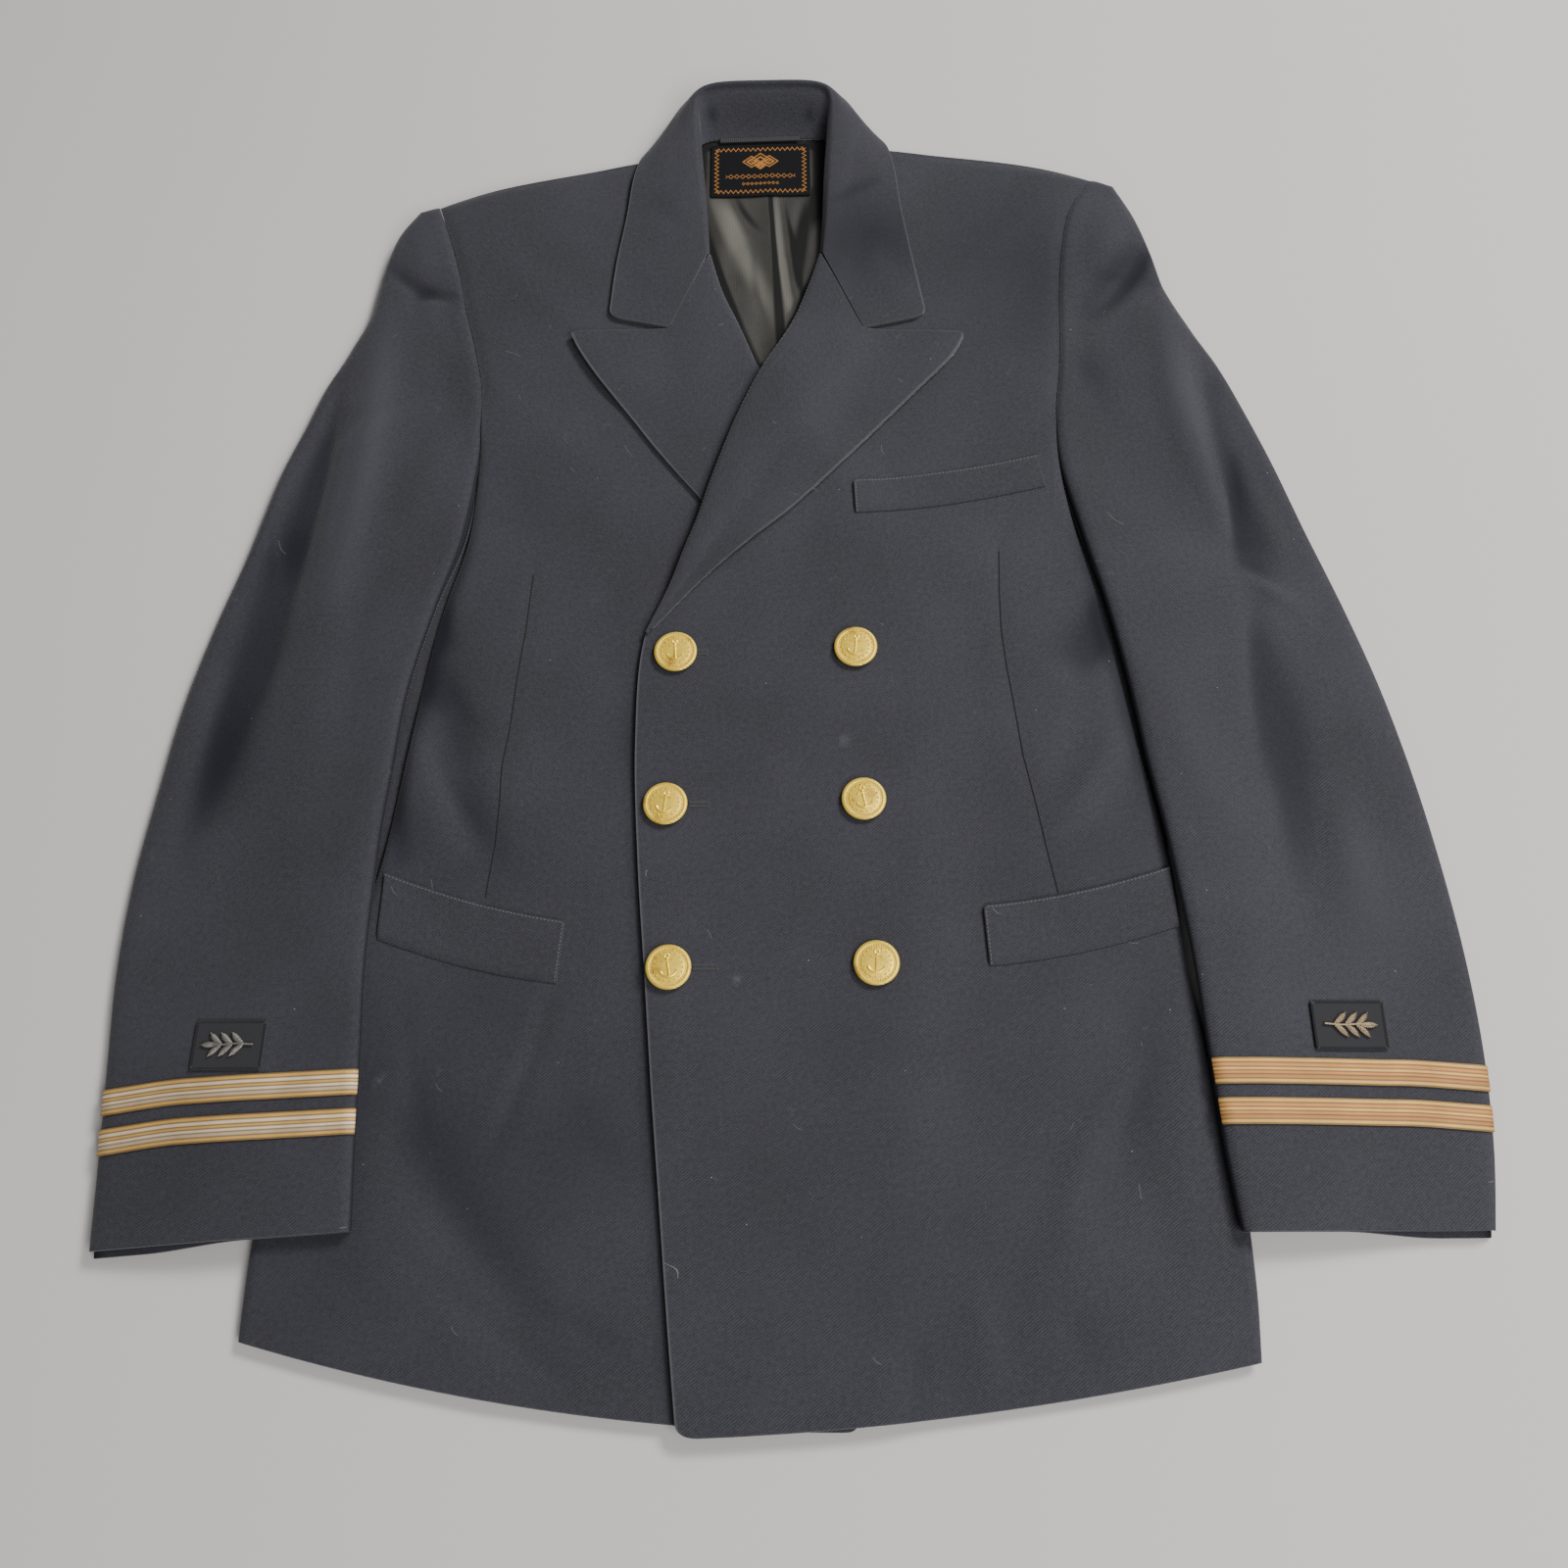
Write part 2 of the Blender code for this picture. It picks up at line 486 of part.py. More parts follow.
def build_sleeves(cloth, collection, parent):
    """Top and under sleeve on each side."""
    for side, table, flip in (("right", SLEEVE_RIGHT, False), ("left", SLEEVE_LEFT, True)):
        name = "top_sleeve_" + side
        columns = spread(8, 120.0, SLEEVE_ROLL, SLEEVE_ROLL)
        rows = sorted(set(stations(table, 2)) | {0.06, 0.2})
        mesh = grid(name, columns, rows, lambda t, s, side=side: sleeve_point(side, t, s), flip)
        wall(place(name, mesh, cloth, collection, parent), CLOTH)
        name = "under_sleeve_" + side
        mesh = grid(name, [k / 10 for k in range(11)], stations(table, 1),
                    lambda t, s, side=side: under_sleeve_point(side, t, s), flip)
        wall(place(name, mesh, cloth, collection, parent), CLOTH)


def build_neck(cloth, collection, parent):
    """Lapels and collar."""
    for side, table, flip in (("right", LAPEL_RIGHT, False), ("left", LAPEL_LEFT, True)):
        name = "lapel_" + side
        columns = [0.0, 0.01, 0.03, 0.08, 0.18, 0.34, 0.5, 0.66, 0.82, 1.0]
        mesh = grid(name, columns, stations(table, 2),
                    lambda t, s, side=side: lapel_point(side, t, s), flip)
        wall(place(name, mesh, cloth, collection, parent), FACED)
    columns = [0.0, 0.5, 0.8, 1.0, 1.3, 1.6, 2.0, 2.5, 3.0, 3.5, 4.0]
    mesh = grid("collar", columns, stations(COLLAR, 2), collar_point, True)
    wall(place("collar", mesh, cloth, collection, parent), FACED)


def build_welts(cloth, collection, parent):
    """Pocket welts, made from the front's points and moved out."""
    for name, welt in WELTS.items():
        def welt_point(t, s, welt=welt):
            bow = welt.bow * 4.0 * s * (1.0 - s)
            top_x = welt.top_x + (welt.end_x - welt.top_x) * s
            top_y = welt.top_y + (welt.end_y - welt.top_y) * s + bow
            low_x = welt.low_x + (welt.end_low_x - welt.low_x) * s
            low_y = welt.low_y + (welt.end_low_y - welt.low_y) * s + bow
            x, y = low_x + (top_x - low_x) * t, low_y + (top_y - low_y) * t
            return Vector((x, y, front_top(welt.front, x, y) + LAYER_GAP + WELT_THICK))
        mesh = grid(name, [k / 10 for k in range(11)], [0.0, 0.5, 1.0], welt_point,
                    welt.front == "right")
        wall(place(name, mesh, cloth, collection, parent), WELT_THICK)


def build_buttons(brass, collection, parent):
    """Six turned buttons, each standing just clear of the cloth."""
    radius = BUTTON_DIAMETER / 2.0
    for name, x, y in BUTTONS:
        mesh = bpy.data.meshes.new("button_" + name)
        bm = bmesh.new()
        points = [bm.verts.new((share * radius * MM, 0.0, high * MM))
                  for share, high in BUTTON_SECTION]
        for a, b in zip(points, points[1:]):
            bm.edges.new((a, b))
        bm.to_mesh(mesh)
        bm.free()
        piece = place("button_" + name, mesh, brass, collection, parent)
        base = front_top("left", x, y) + LAYER_GAP
        piece.location = (Vector((x, y, base)) - MIDDLE) * MM
        screw = piece.modifiers.new("Turned", "SCREW")
        screw.steps = BUTTON_SIDES
        screw.render_steps = BUTTON_SIDES
        screw.use_merge_vertices = True
        screw.merge_threshold = BUTTON_MERGE
        screw.use_normal_calculate = False
        piece.data.shade_smooth()


def build_lace(gold, collection, parent):
    """Two rows of lace on each cuff, made from the sleeve's points and moved out."""
    for side, table, flip in (("right", SLEEVE_RIGHT, False), ("left", SLEEVE_LEFT, True)):
        for number, name in enumerate(("low", "high")):
            from_cuff = LACE_FROM_CUFF[side] + number * LACE_PITCH

            def lace_point(t, s, side=side, table=table, from_cuff=from_cuff):
                distance = from_cuff + (1.0 - t) * LACE_WIDTH
                row = cuff_row(table, distance)
                place_on = sleeve_point(side, row, s)
                return place_on + sleeve_normal(side, row, s) * (LAYER_GAP + LACE_THICK)
            columns = spread(8, 120.0, SLEEVE_ROLL, SLEEVE_ROLL)[1:-1]
            mesh = grid("lace_%s_%s" % (name, side), columns, [0.0, 0.5, 1.0], lace_point, flip)
            wall(place("lace_%s_%s" % (name, side), mesh, gold, collection, parent), LACE_THICK)


def cuff_row(table, distance):
    """The fractional row that lies a distance above the cuff, along the sleeve's middle."""
    last = len(table) - 1
    previous = row_point(row_at(table, last), 0.5)
    walked, t, step = 0.0, float(last), 0.02
    while walked < distance:
        t -= step
        point = row_point(row_at(table, t), 0.5)
        walked += math.dist(point, previous)
        previous = point
    return t + step * (walked - distance) / math.dist(point, row_point(row_at(table, t + step), 0.5))


def sleeve_normal(side, t, s):
    """Outward direction of a top sleeve's surface."""
    step = 0.004
    along = sleeve_point(side, t + step, s) - sleeve_point(side, t - step, s)
    across = sleeve_point(side, t, min(1.0, s + step)) - sleeve_point(side, t, max(0.0, s - step))
    normal = along.cross(across).normalized()
    return normal if normal.z > 0.0 else -normal


def flat_piece(name, patch, thick, surface, made, collection, parent, cells=(4, 3)):
    """A rectangle of cloth that lies on a surface."""
    def patch_point(t, s):
        px, py = (s - 0.5) * patch.width, (t - 0.5) * patch.height
        x = patch.x + px * math.cos(patch.turn) - py * math.sin(patch.turn)
        y = patch.y + px * math.sin(patch.turn) + py * math.cos(patch.turn)
        return Vector((x, y, surface(x, y) + PATCH_GAP + thick))
    mesh = grid(name, [k / cells[0] for k in range(cells[0] + 1)],
                [k / cells[1] for k in range(cells[1] + 1)], patch_point)
    wall(place(name, mesh, made, collection, parent), thick)


def sleeve_height(side, x, y):
    """Height of a top sleeve's surface above a place on the flat of the sleeve."""
    folds = fold_height(FOLDS_SLEEVE_RIGHT if side == "right" else FOLDS_SLEEVE_LEFT, x, y)
    return BODY_TOP + shoulder_lift(x, y) + body_support(side, x, y) + folds


def leaf_points(root_x, angle, length, width):
    """One pointed leaf's outline, out along its lower edge and back along its upper one."""
    turn = math.radians(angle)
    points = []
    for k in range(1, 2 * SPRIG_POINTS):
        reach = 1.0 - abs(k / SPRIG_POINTS - 1.0)
        half = math.copysign(0.5 * width * math.sin(math.pi * reach), k - SPRIG_POINTS)
        along = length * reach
        points.append(Vector((root_x + along * math.cos(turn) - half * math.sin(turn),
                              along * math.sin(turn) + half * math.cos(turn), 0.0)))
    return points


def sprig_outline():
    """Leaves in pairs along a stem with one at its end, as one closed outline."""
    length, width = SPRIG_LEAF
    upper = []
    for root_x in SPRIG_ROOTS:
        upper += leaf_points(root_x, SPRIG_LEAN, length, width)[::-1]
    tip = leaf_points(SPRIG_ROOTS[-1] + 2.0, 0.0, length, width)
    lower = [Vector((point.x, -point.y, 0.0)) for point in reversed(upper)]
    end = [Vector((-SPRIG_STEM, side * 0.5, 0.0)) for side in (-1.0, 1.0)]
    return upper + tip[::-1] + lower + end


def build_trims(black, bullion, collection, parent):
    """Cuff patches with their sprigs, the neck label and the hanger loop."""
    for side, patch in PATCHES.items():
        flat_piece("patch_" + side, patch, PATCH_THICK,
                   lambda x, y, side=side: sleeve_height(side, x, y), black, collection, parent)
        turn = math.pi if side == "right" else 0.0
        top = PATCH_GAP + PATCH_THICK + LAYER_GAP + SPRIG_THICK
        mesh = bpy.data.meshes.new("sprig_" + side)
        bm = bmesh.new()
        ring = []
        for point in sprig_outline():
            x = patch.x + point.x * math.cos(turn) - point.y * math.sin(turn)
            y = patch.y + point.x * math.sin(turn) + point.y * math.cos(turn)
            spot = Vector((x, y, sleeve_height(side, x, y) + top))
            ring.append(bm.verts.new((spot - MIDDLE) * MM))
        face = bm.faces.new(ring)
        face.normal_update()
        if face.normal.z < 0.0:
            face.normal_flip()
        bmesh.ops.triangulate(bm, faces=[face])
        bm.to_mesh(mesh)
        bm.free()
        wall(place("sprig_" + side, mesh, bullion, collection, parent), SPRIG_THICK)
    lining_height = CLOTH + SEAM_GAP + LINING + TRIM_RISE
    flat_piece("label", LABEL, LABEL_THICK, lambda x, y: lining_height, black, collection, parent)
    flat_piece("hanger_loop", LOOP, LABEL_THICK, lambda x, y: lining_height, black, collection,
               parent, (6, 1))


def main():
    for old in list(bpy.data.objects):
        bpy.data.objects.remove(old, do_unlink=True)
    collection = bpy.data.collections.new(JACKET)
    bpy.context.scene.collection.children.link(collection)
    parent = bpy.data.objects.new(JACKET, None)
    collection.objects.link(parent)
    cloth = material("navy_wool", (0.018, 0.021, 0.028), 0.85)
    lining = material("grey_satin", (0.045, 0.042, 0.036), 0.45)
    black = material("black_cloth", (0.008, 0.008, 0.009), 0.9)
    brass = material("gilt_brass", (0.83, 0.62, 0.22), 0.28, 1.0)
    gold = material("gold_lace", (0.62, 0.44, 0.20), 0.45, 0.6)
    bullion = material("bullion_wire", (0.34, 0.33, 0.30), 0.4, 0.7)
    build_body(cloth, lining, collection, parent)
    build_sleeves(cloth, collection, parent)
    build_neck(cloth, collection, parent)
    build_welts(cloth, collection, parent)
    build_buttons(brass, collection, parent)
    build_lace(gold, collection, parent)
    build_trims(black, bullion, collection, parent)


main()
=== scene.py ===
"""Looks of a double-breasted naval uniform jacket that lies flat on its back.

Cloth is worked out in table millimetres, as the solids are: x towards the left front's side, y from
the hem to the collar, z up. Every panel is a fine grid through the rows of a short table, with its
creases, turned edges and seams, and then gets its thickness.
"""
import math
from collections import namedtuple

import bpy
import numpy as np
from bpy.props import FloatProperty, FloatVectorProperty, IntProperty, PointerProperty
from mathutils import Matrix, Vector


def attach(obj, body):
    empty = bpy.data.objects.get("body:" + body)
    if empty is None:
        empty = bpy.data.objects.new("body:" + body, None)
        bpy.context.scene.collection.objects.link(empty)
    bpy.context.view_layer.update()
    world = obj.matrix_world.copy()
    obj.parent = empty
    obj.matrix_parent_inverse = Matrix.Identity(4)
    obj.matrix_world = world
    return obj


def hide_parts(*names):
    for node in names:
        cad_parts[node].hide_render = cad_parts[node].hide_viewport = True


bl_info = {
    "name": "Naval jacket laid flat",
    "version": (1, 0, 0),
    "blender": (4, 5, 0),
    "location": "View3D > Sidebar > Jacket",
    "description": "Wool, satin, lace, buttons and stitching of a double-breasted naval jacket",
    "category": "Object",
}

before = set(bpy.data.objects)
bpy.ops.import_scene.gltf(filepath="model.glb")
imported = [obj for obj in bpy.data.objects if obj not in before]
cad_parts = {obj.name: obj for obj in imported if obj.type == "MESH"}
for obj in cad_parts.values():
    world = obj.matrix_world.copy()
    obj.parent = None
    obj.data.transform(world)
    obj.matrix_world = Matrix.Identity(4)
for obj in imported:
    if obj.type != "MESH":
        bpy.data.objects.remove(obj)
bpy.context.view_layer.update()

MM = 0.001
MIDDLE = np.array([9.25, 168.9, 0.0])
SIDES = ("right", "left")

# Cloth, the gaps between its layers and the radii of its rolled edges, as in the solids
CLOTH = 2.4
FACED = 2.0
LINING = 1.0
SEAM_GAP = 0.3
LAYER_GAP = 0.45
BODY_TOP = 7.75
SWELL = 2.5
LIFT = 5.0
SIDE_ROLL = 5.0
SHOULDER_ROLL = 8.0
SLEEVE_ROLL = 7.0
LAPEL_ROLL = 3.5
COLLAR_ROLL = 4.4
LAPEL_SPRING = 1.6
ROLL_INSET = 4.0
RIM_GAP = 1.9
LACE_WIDTH = 12.7
LACE_PITCH = 19.05
LACE_THICK = 0.9
WELT_THICK = 1.3
PATCH_THICK = 1.0
PATCH_GAP = 0.65
SPRIG_THICK = 1.2
LABEL_THICK = 1.0
TRIM_RISE = 0.3

# Spans of the soft steps between heights. Those in y are up the jacket
NECK_X = -4.0
SHOULDER_X = (95.0, 175.0)
SHOULDER_Y = (385.0, 470.0)
OVERLAP_FROM_EDGE = (-46.0, -6.0)
OVERLAP_TOP_Y = (372.0, 400.0)
UNDER_LAPEL_X = (34.0, 66.0)
UNDER_LAPEL_LOW_Y = (205.0, 242.0)
UNDER_LAPEL_TOP_Y = (362.0, 392.0)
SIDE_FOLD_TOP_Y = (285.0, 318.0)
SLEEVE_REST_X = (-102.0, -10.0)
SLEEVE_REST_LOW_Y = (62.0, 120.0)
SLEEVE_REST_TOP_Y = (245.0, 305.0)
SLEEVE_REST_UP = 0.5
HEM_ROWS = (0.0, 1.2)
HEM_HEIGHT = 0.35
ARMHOLE_ROWS = (-0.5, 1.0)
SLEEVE_HEAD_PITCH = 24.0
UNDER_SLEEVE_RIDGE = 0.8
LAPEL_KNEE = 0.5
LAPEL_ENDS = {"right": (2.0, 3.0), "left": (6.0, 8.0)}
LAPEL_TIP_ROWS = (5.6, 6.6)
LAPEL_NO_ROLL_ROWS = (2.6, 3.2)
BREAK_ROW = 7
SLEEVE_FREE = 6

# Grids of points: how wide a panel is, and how far apart its table's rows are
FRONT_WIDE, FRONT_PITCH = 235.0, 48.0
BACK_WIDE, BACK_PITCH = 200.0, 52.0
LINING_WIDE, LINING_PITCH = 112.0, 48.0
SLEEVE_WIDE, SLEEVE_PITCH = 122.0, 40.0
LAPEL_WIDE, LAPEL_PITCH, LAPEL_END_PITCH = 80.0, 28.0, 24.0
SHOULDER_END, COLLAR_END, LAPEL_END = 0.17, 0.18, 6.0

# Looks only: how troughs level off, the soft underarm, the sprung lapels, the sleeve head's seam,
# the lining's head behind the collar and the rubbed patches
TROUGH_FROM = 1.5
TROUGH_SOFT = 0.9
UNDERARM_Y = 165.0
UNDERARM_SPAN = 62.0
UNDERARM_SOFT = 8.0
# Heights up the jacket where the fronts' painted underarm shade begins, is full, begins to fade and
# ends
UNDERARM_SHADE = (60.0, 110.0, 215.0, 285.0)
EDGE_SPRING = 1.8
UNDER_CUFF = 3.0
UNDER_INSET = 0.012
UNDERARM_CLOSED_Y = 255.0
UNDERARM_CLOSED_SPAN = 32.0
UNDERARM_CLOSED_X = (180.0, 230.0)
UNDER_OUTSET = 0.02
ARMHOLE_ROPE, ARMHOLE_ROPE_WIDE = 0.4, 5.0
ARMHOLE_DIP, ARMHOLE_DIP_WIDE = 0.9, 1.5
LINING_HEAD_Y = (500.0, 516.0)
LINING_HEAD_WIDER = 2.6
LINING_TUCK_Y = (517.4, 519.6)
LINING_TUCK_BACK, LINING_TUCK_DOWN = 2.8, 1.4
# The value of the painted light-and-shade mark at which the wool is painted darkest
DARKEST = -3.2
TWILL_SLANT = 0.7
WIRE_PITCH = 0.0009
BUTTON_RIB = 0.0009
BUTTON_STEPS = 72
INNER_BEADS = 18
LACE_DROP = 3.2
SMUDGES = ((-187, -57, 7.0), (-15, -7, 5.0), (40, 120, 6.0), (53, 111, 5.0))
# Colour of the painted shade in the wool's deepest folds, hollows and gaps
DEEP_SHADE = (0.001, 0.001, 0.0065, 1.0)
DUST = (0.2, 0.2, 0.2, 1.0)
CHALK = (0.3, 0.3, 0.31, 1.0)
LINT = (0.45, 0.45, 0.45, 1.0)
TARNISH = (0.5, 0.2, 0.05, 1.0)
LACE_DARK = (0.07, 0.055, 0.035, 1.0)

Row = namedtuple("Row", "inner_x inner_y outer_x outer_y bow")
Bent = namedtuple("Bent", "roll_x roll_y knee_x knee_y edge_x edge_y")
Neck = namedtuple("Neck", "foot roll crown knee edge")
Fold = namedtuple("Fold", "x0 y0 x1 y1 bend width height")
Shade = namedtuple("Shade", "x y reach depth")
Welt = namedtuple("Welt", "front top_x top_y end_x end_y end_low_x end_low_y low_x low_y bow")
Patch = namedtuple("Patch", "x y width height turn")


def as_rows(kind, table):
    """A table whose plain rows are made named ones."""
    return {name: [kind(*row) for row in rows] for name, rows in table.items()}


FRONTS = as_rows(Row, {
    "right": [
        (42, -214, -245, -176, -10), (46, -165, -244, -135, -8), (51, -110, -240, -95, -5),
        (55, -60, -232, -50, -2), (60, 0, -215, 0, 0), (65, 60, -200, 52, 0),
        (67, 120, -190.5, 120, 0), (68, 180, -180.5, 190, 0), (46, 235, -168, 242, 0),
        (30, 272, -165.2, 288, 0), (8, 316, -165.2, 316, 0), (-4, 344, -167.2, 344, 0),
        (-14, 370, -172.7, 370, 0), (-24, 396, -179.7, 396, 0), (-35, 424, -184.7, 420, 0),
        (-47, 460, -191.7, 444, 2), (-52, 506, -200.2, 468, 4)],
    "left": [
        (-40, -217, 226, -184, -6), (-45, -170, 227, -150, -4), (-51, -110, 225, -105, -2),
        (-56, -60, 218, -55, 0), (-61, -5, 209, -5, 0), (-66.5, 55, 204, 55, 0),
        (-70, 120, 192, 120, 0), (-67, 181, 180.5, 190, 0), (-47, 232, 168, 246, 0),
        (-35, 272, 161.7, 288, 0), (-20, 316, 161.2, 320, 0), (-7, 346, 164.7, 348, 0),
        (6, 372, 166.7, 376, 0), (18, 400, 167.9, 404, 0), (31, 428, 170.7, 432, 0),
        (41, 464, 176.7, 458, 2), (44, 511, 191.2, 480.5, 4)]})
# A back has its own side below the underarm, and its front's side above it
BACK_SEAM_X = {"right": -4.15, "left": -3.85}
BACK_SEAM_Y = (-208, -125, -45, 30, 110, 180, 242, 290, 325, 360, 395, 430, 460, 490, 520.5)
BACK_LOW_SIDES = {
    "right": [(-243, -173, -4), (-242, -125, 0), (-230, -45, 0), (-205, 30, 0), (-201, 110, 0),
              (-193, 182, 0), (-171.5, 242, 0)],
    "left": [(224, -181, -4), (225, -130, 0), (215, -45, 0), (205, 30, 0), (203, 110, 0),
             (193, 186, 0), (171.5, 246, 0)]}
BACK_SHARED_ROW = 9
BACK_TOP_BOW = -2


def back_rows(side):
    """The rows of a back, from the hem to the neck."""
    shared = [(row.outer_x, row.outer_y, 0) for row in FRONTS[side][BACK_SHARED_ROW:]]
    shared[-1] = (*shared[-1][:2], BACK_TOP_BOW)
    return [Row(BACK_SEAM_X[side], y, *outer)
            for y, outer in zip(BACK_SEAM_Y, BACK_LOW_SIDES[side] + shared)]


BACKS = {side: back_rows(side) for side in SIDES}
BACK_LINING = [Row(*row) for row in (
    (-62, 330, 52, 330, 0), (-62, 380, 52, 380, 0), (-60, 430, 50, 430, 0),
    (-56, 480, 46, 480, 0), (-40, 519.3, 32, 519.3, 0))]
SLEEVES = as_rows(Row, {
    "right": [
        (-200.5, 468, -212, 464, 0), (-192, 444, -224, 446, 0), (-185, 420, -231, 421, 0),
        (-180, 396, -236, 393, 0), (-173, 370, -247, 367, 0), (-167.5, 344, -258, 344, 0),
        (-165.5, 316, -267, 317, 0), (-165.5, 288, -278, 285, 0), (-170, 242, -290, 237, 0),
        (-182, 198, -303, 192, 0), (-192.5, 150, -314, 145, 0), (-197, 96, -321.5, 92, 0),
        (-199, 50, -327, 46, 0), (-200, 3, -328.5, -2, 0), (-198, -42, -326, -48, 0),
        (-196, -86, -323, -93, 0), (-194, -127, -320.5, -136, 0)],
    "left": [
        (191.5, 480.5, 204, 475, 0), (177, 458, 214.5, 453, 0), (171, 432, 222.5, 430, 0),
        (168.2, 404, 230, 402, 0), (167, 376, 242, 376, 0), (165, 348, 256, 350, 0),
        (161.5, 320, 268, 320, 0), (162, 288, 280, 286, 0), (170, 246, 293, 244, 0),
        (181, 200, 308, 198, 0), (189.5, 153, 321, 153, 0), (196, 105, 331.5, 105, 0),
        (203, 55, 339.5, 55, 0), (209, 5, 345, 5, 0), (212.5, -43, 347, -43, 0),
        (216, -88, 345, -88, 0), (220.5, -127, 340, -126, 0)]})
LAPELS = as_rows(Bent, {
    "right": [
        (-36.2, 432.6, -58.7, 379.1, -117, 377), (-29, 407, -55, 366, -111, 364),
        (-18, 381, -49, 350, -99, 345), (-6, 350, -38, 331, -81, 321),
        (3, 331, -24, 314, -66, 300), (-6, 303, -26, 293, -52, 282),
        (-15, 275, -25, 270, -38, 265), (-19, 255, -23, 253, -28, 252)],
    "left": [
        (27.8, 432.6, 52.9, 376.8, 112, 373), (21, 410, 49, 364, 103, 356),
        (8, 375, 38, 345, 82, 333), (-8, 345, 20, 322, 60, 309),
        (-22, 312, 3, 297, 36, 282), (-34, 276, -13, 268, 11, 256),
        (-43, 245, -30, 241, -13, 235), (-54, 212, -47, 212, -39, 211),
        (-66.5, 183, -65, 184, -62.5, 185)]})
COLLAR = [Neck(*row) for row in (
    ((-38.4, 432.0, 5.9), (-36.9, 433.1, 8.4), 11.9, (-59.2, 379.7, 10.9), (-95, 388, 10.5)),
    ((-42, 462, 6.4), (-38.5, 458, 9.2), 12.6, (-62, 425, 11.8), (-92, 424, 10.7)),
    ((-44, 490, 6.6), (-41, 487, 10.7), 14.0, (-63, 467, 12.6), (-87, 459, 10.8)),
    ((-45, 510, 6.2), (-43.5, 516, 14.0), 16.8, (-62, 505, 14.6), (-83, 491, 11.4)),
    ((-40, 520.0, 4.6), (-44.5, 538, 19.0), 20.6, (-60, 532, 14.0), (-75, 512, 7.5)),
    ((-25, 521.7, 3.9), (-35, 544.5, 21.5), 22.8, (-42, 552, 12.5), (-46, 540, 2.8)),
    ((-4, 522.0, 3.8), (-4, 545, 22.0), 23.2, (-4, 554.5, 12.5), (-4, 544, 2.8)),
    ((17, 521.9, 3.9), (25, 544.5, 21.5), 22.8, (31, 552.5, 12.5), (36, 541, 2.8)),
    ((30, 520.5, 4.6), (33.5, 539, 19.0), 20.6, (49, 535, 14.0), (64, 519, 7.5)),
    ((36, 511, 6.2), (33, 518, 14.0), 16.8, (51, 508, 14.6), (72.5, 498, 11.4)),
    ((36, 490, 6.6), (31, 486, 10.7), 14.0, (54, 470, 12.6), (77, 463, 10.8)),
    ((34, 462, 6.4), (30, 457, 9.2), 12.6, (55, 425, 11.8), (83, 426, 10.7)),
    ((30, 432.0, 5.9), (28.5, 433.1, 8.4), 11.9, (53.5, 377.5, 10.9), (90, 386, 10.5)))]

# The large folds that the solids have, and after them the finer ones of the looks
FOLDS = as_rows(Fold, {
    "front_right": [
        (-182, 205, -150, 110, 6, 14, -1.9), (-150, 215, -128, 60, 4, 22, 1.0),
        (-196, -60, -105, -195, 14, 20, 1.3), (-160, 20, -80, -120, -10, 26, -1.2)],
    "front_left": [
        (176, 205, 150, 160, -5, 14, -1.9), (165, 170, 150, 70, 5, 20, 1.1),
        (165, -20, 140, -165, 12, 22, 1.3), (200, 10, 175, -120, 8, 18, -1.3)],
    "sleeve_right": [
        (-226, 415, -243, 180, -5, 13, 5.0), (-245, 330, -292, 70, 8, 13, -2.4),
        (-170, 330, -205, 250, 3, 10, 1.2), (-180, 418, -215, 398, 4, 7, -1.4)],
    "sleeve_left": [
        (226, 405, 250, 235, 4, 13, 5.0), (243, 350, 268, 205, -5, 11, -2.4),
        (261, 190, 272, 10, -4, 16, -2.0), (225, 250, 236, 40, 4, 24, 1.4),
        (172, 370, 214, 432, -4, 8, -1.4)],
    "lining": [
        (-2, 520, 5, 335, 0, 5, 0.7), (-30, 470, -22, 350, 5, 6, 0.5),
        (24, 480, 16, 360, -4, 6, 0.5)]})
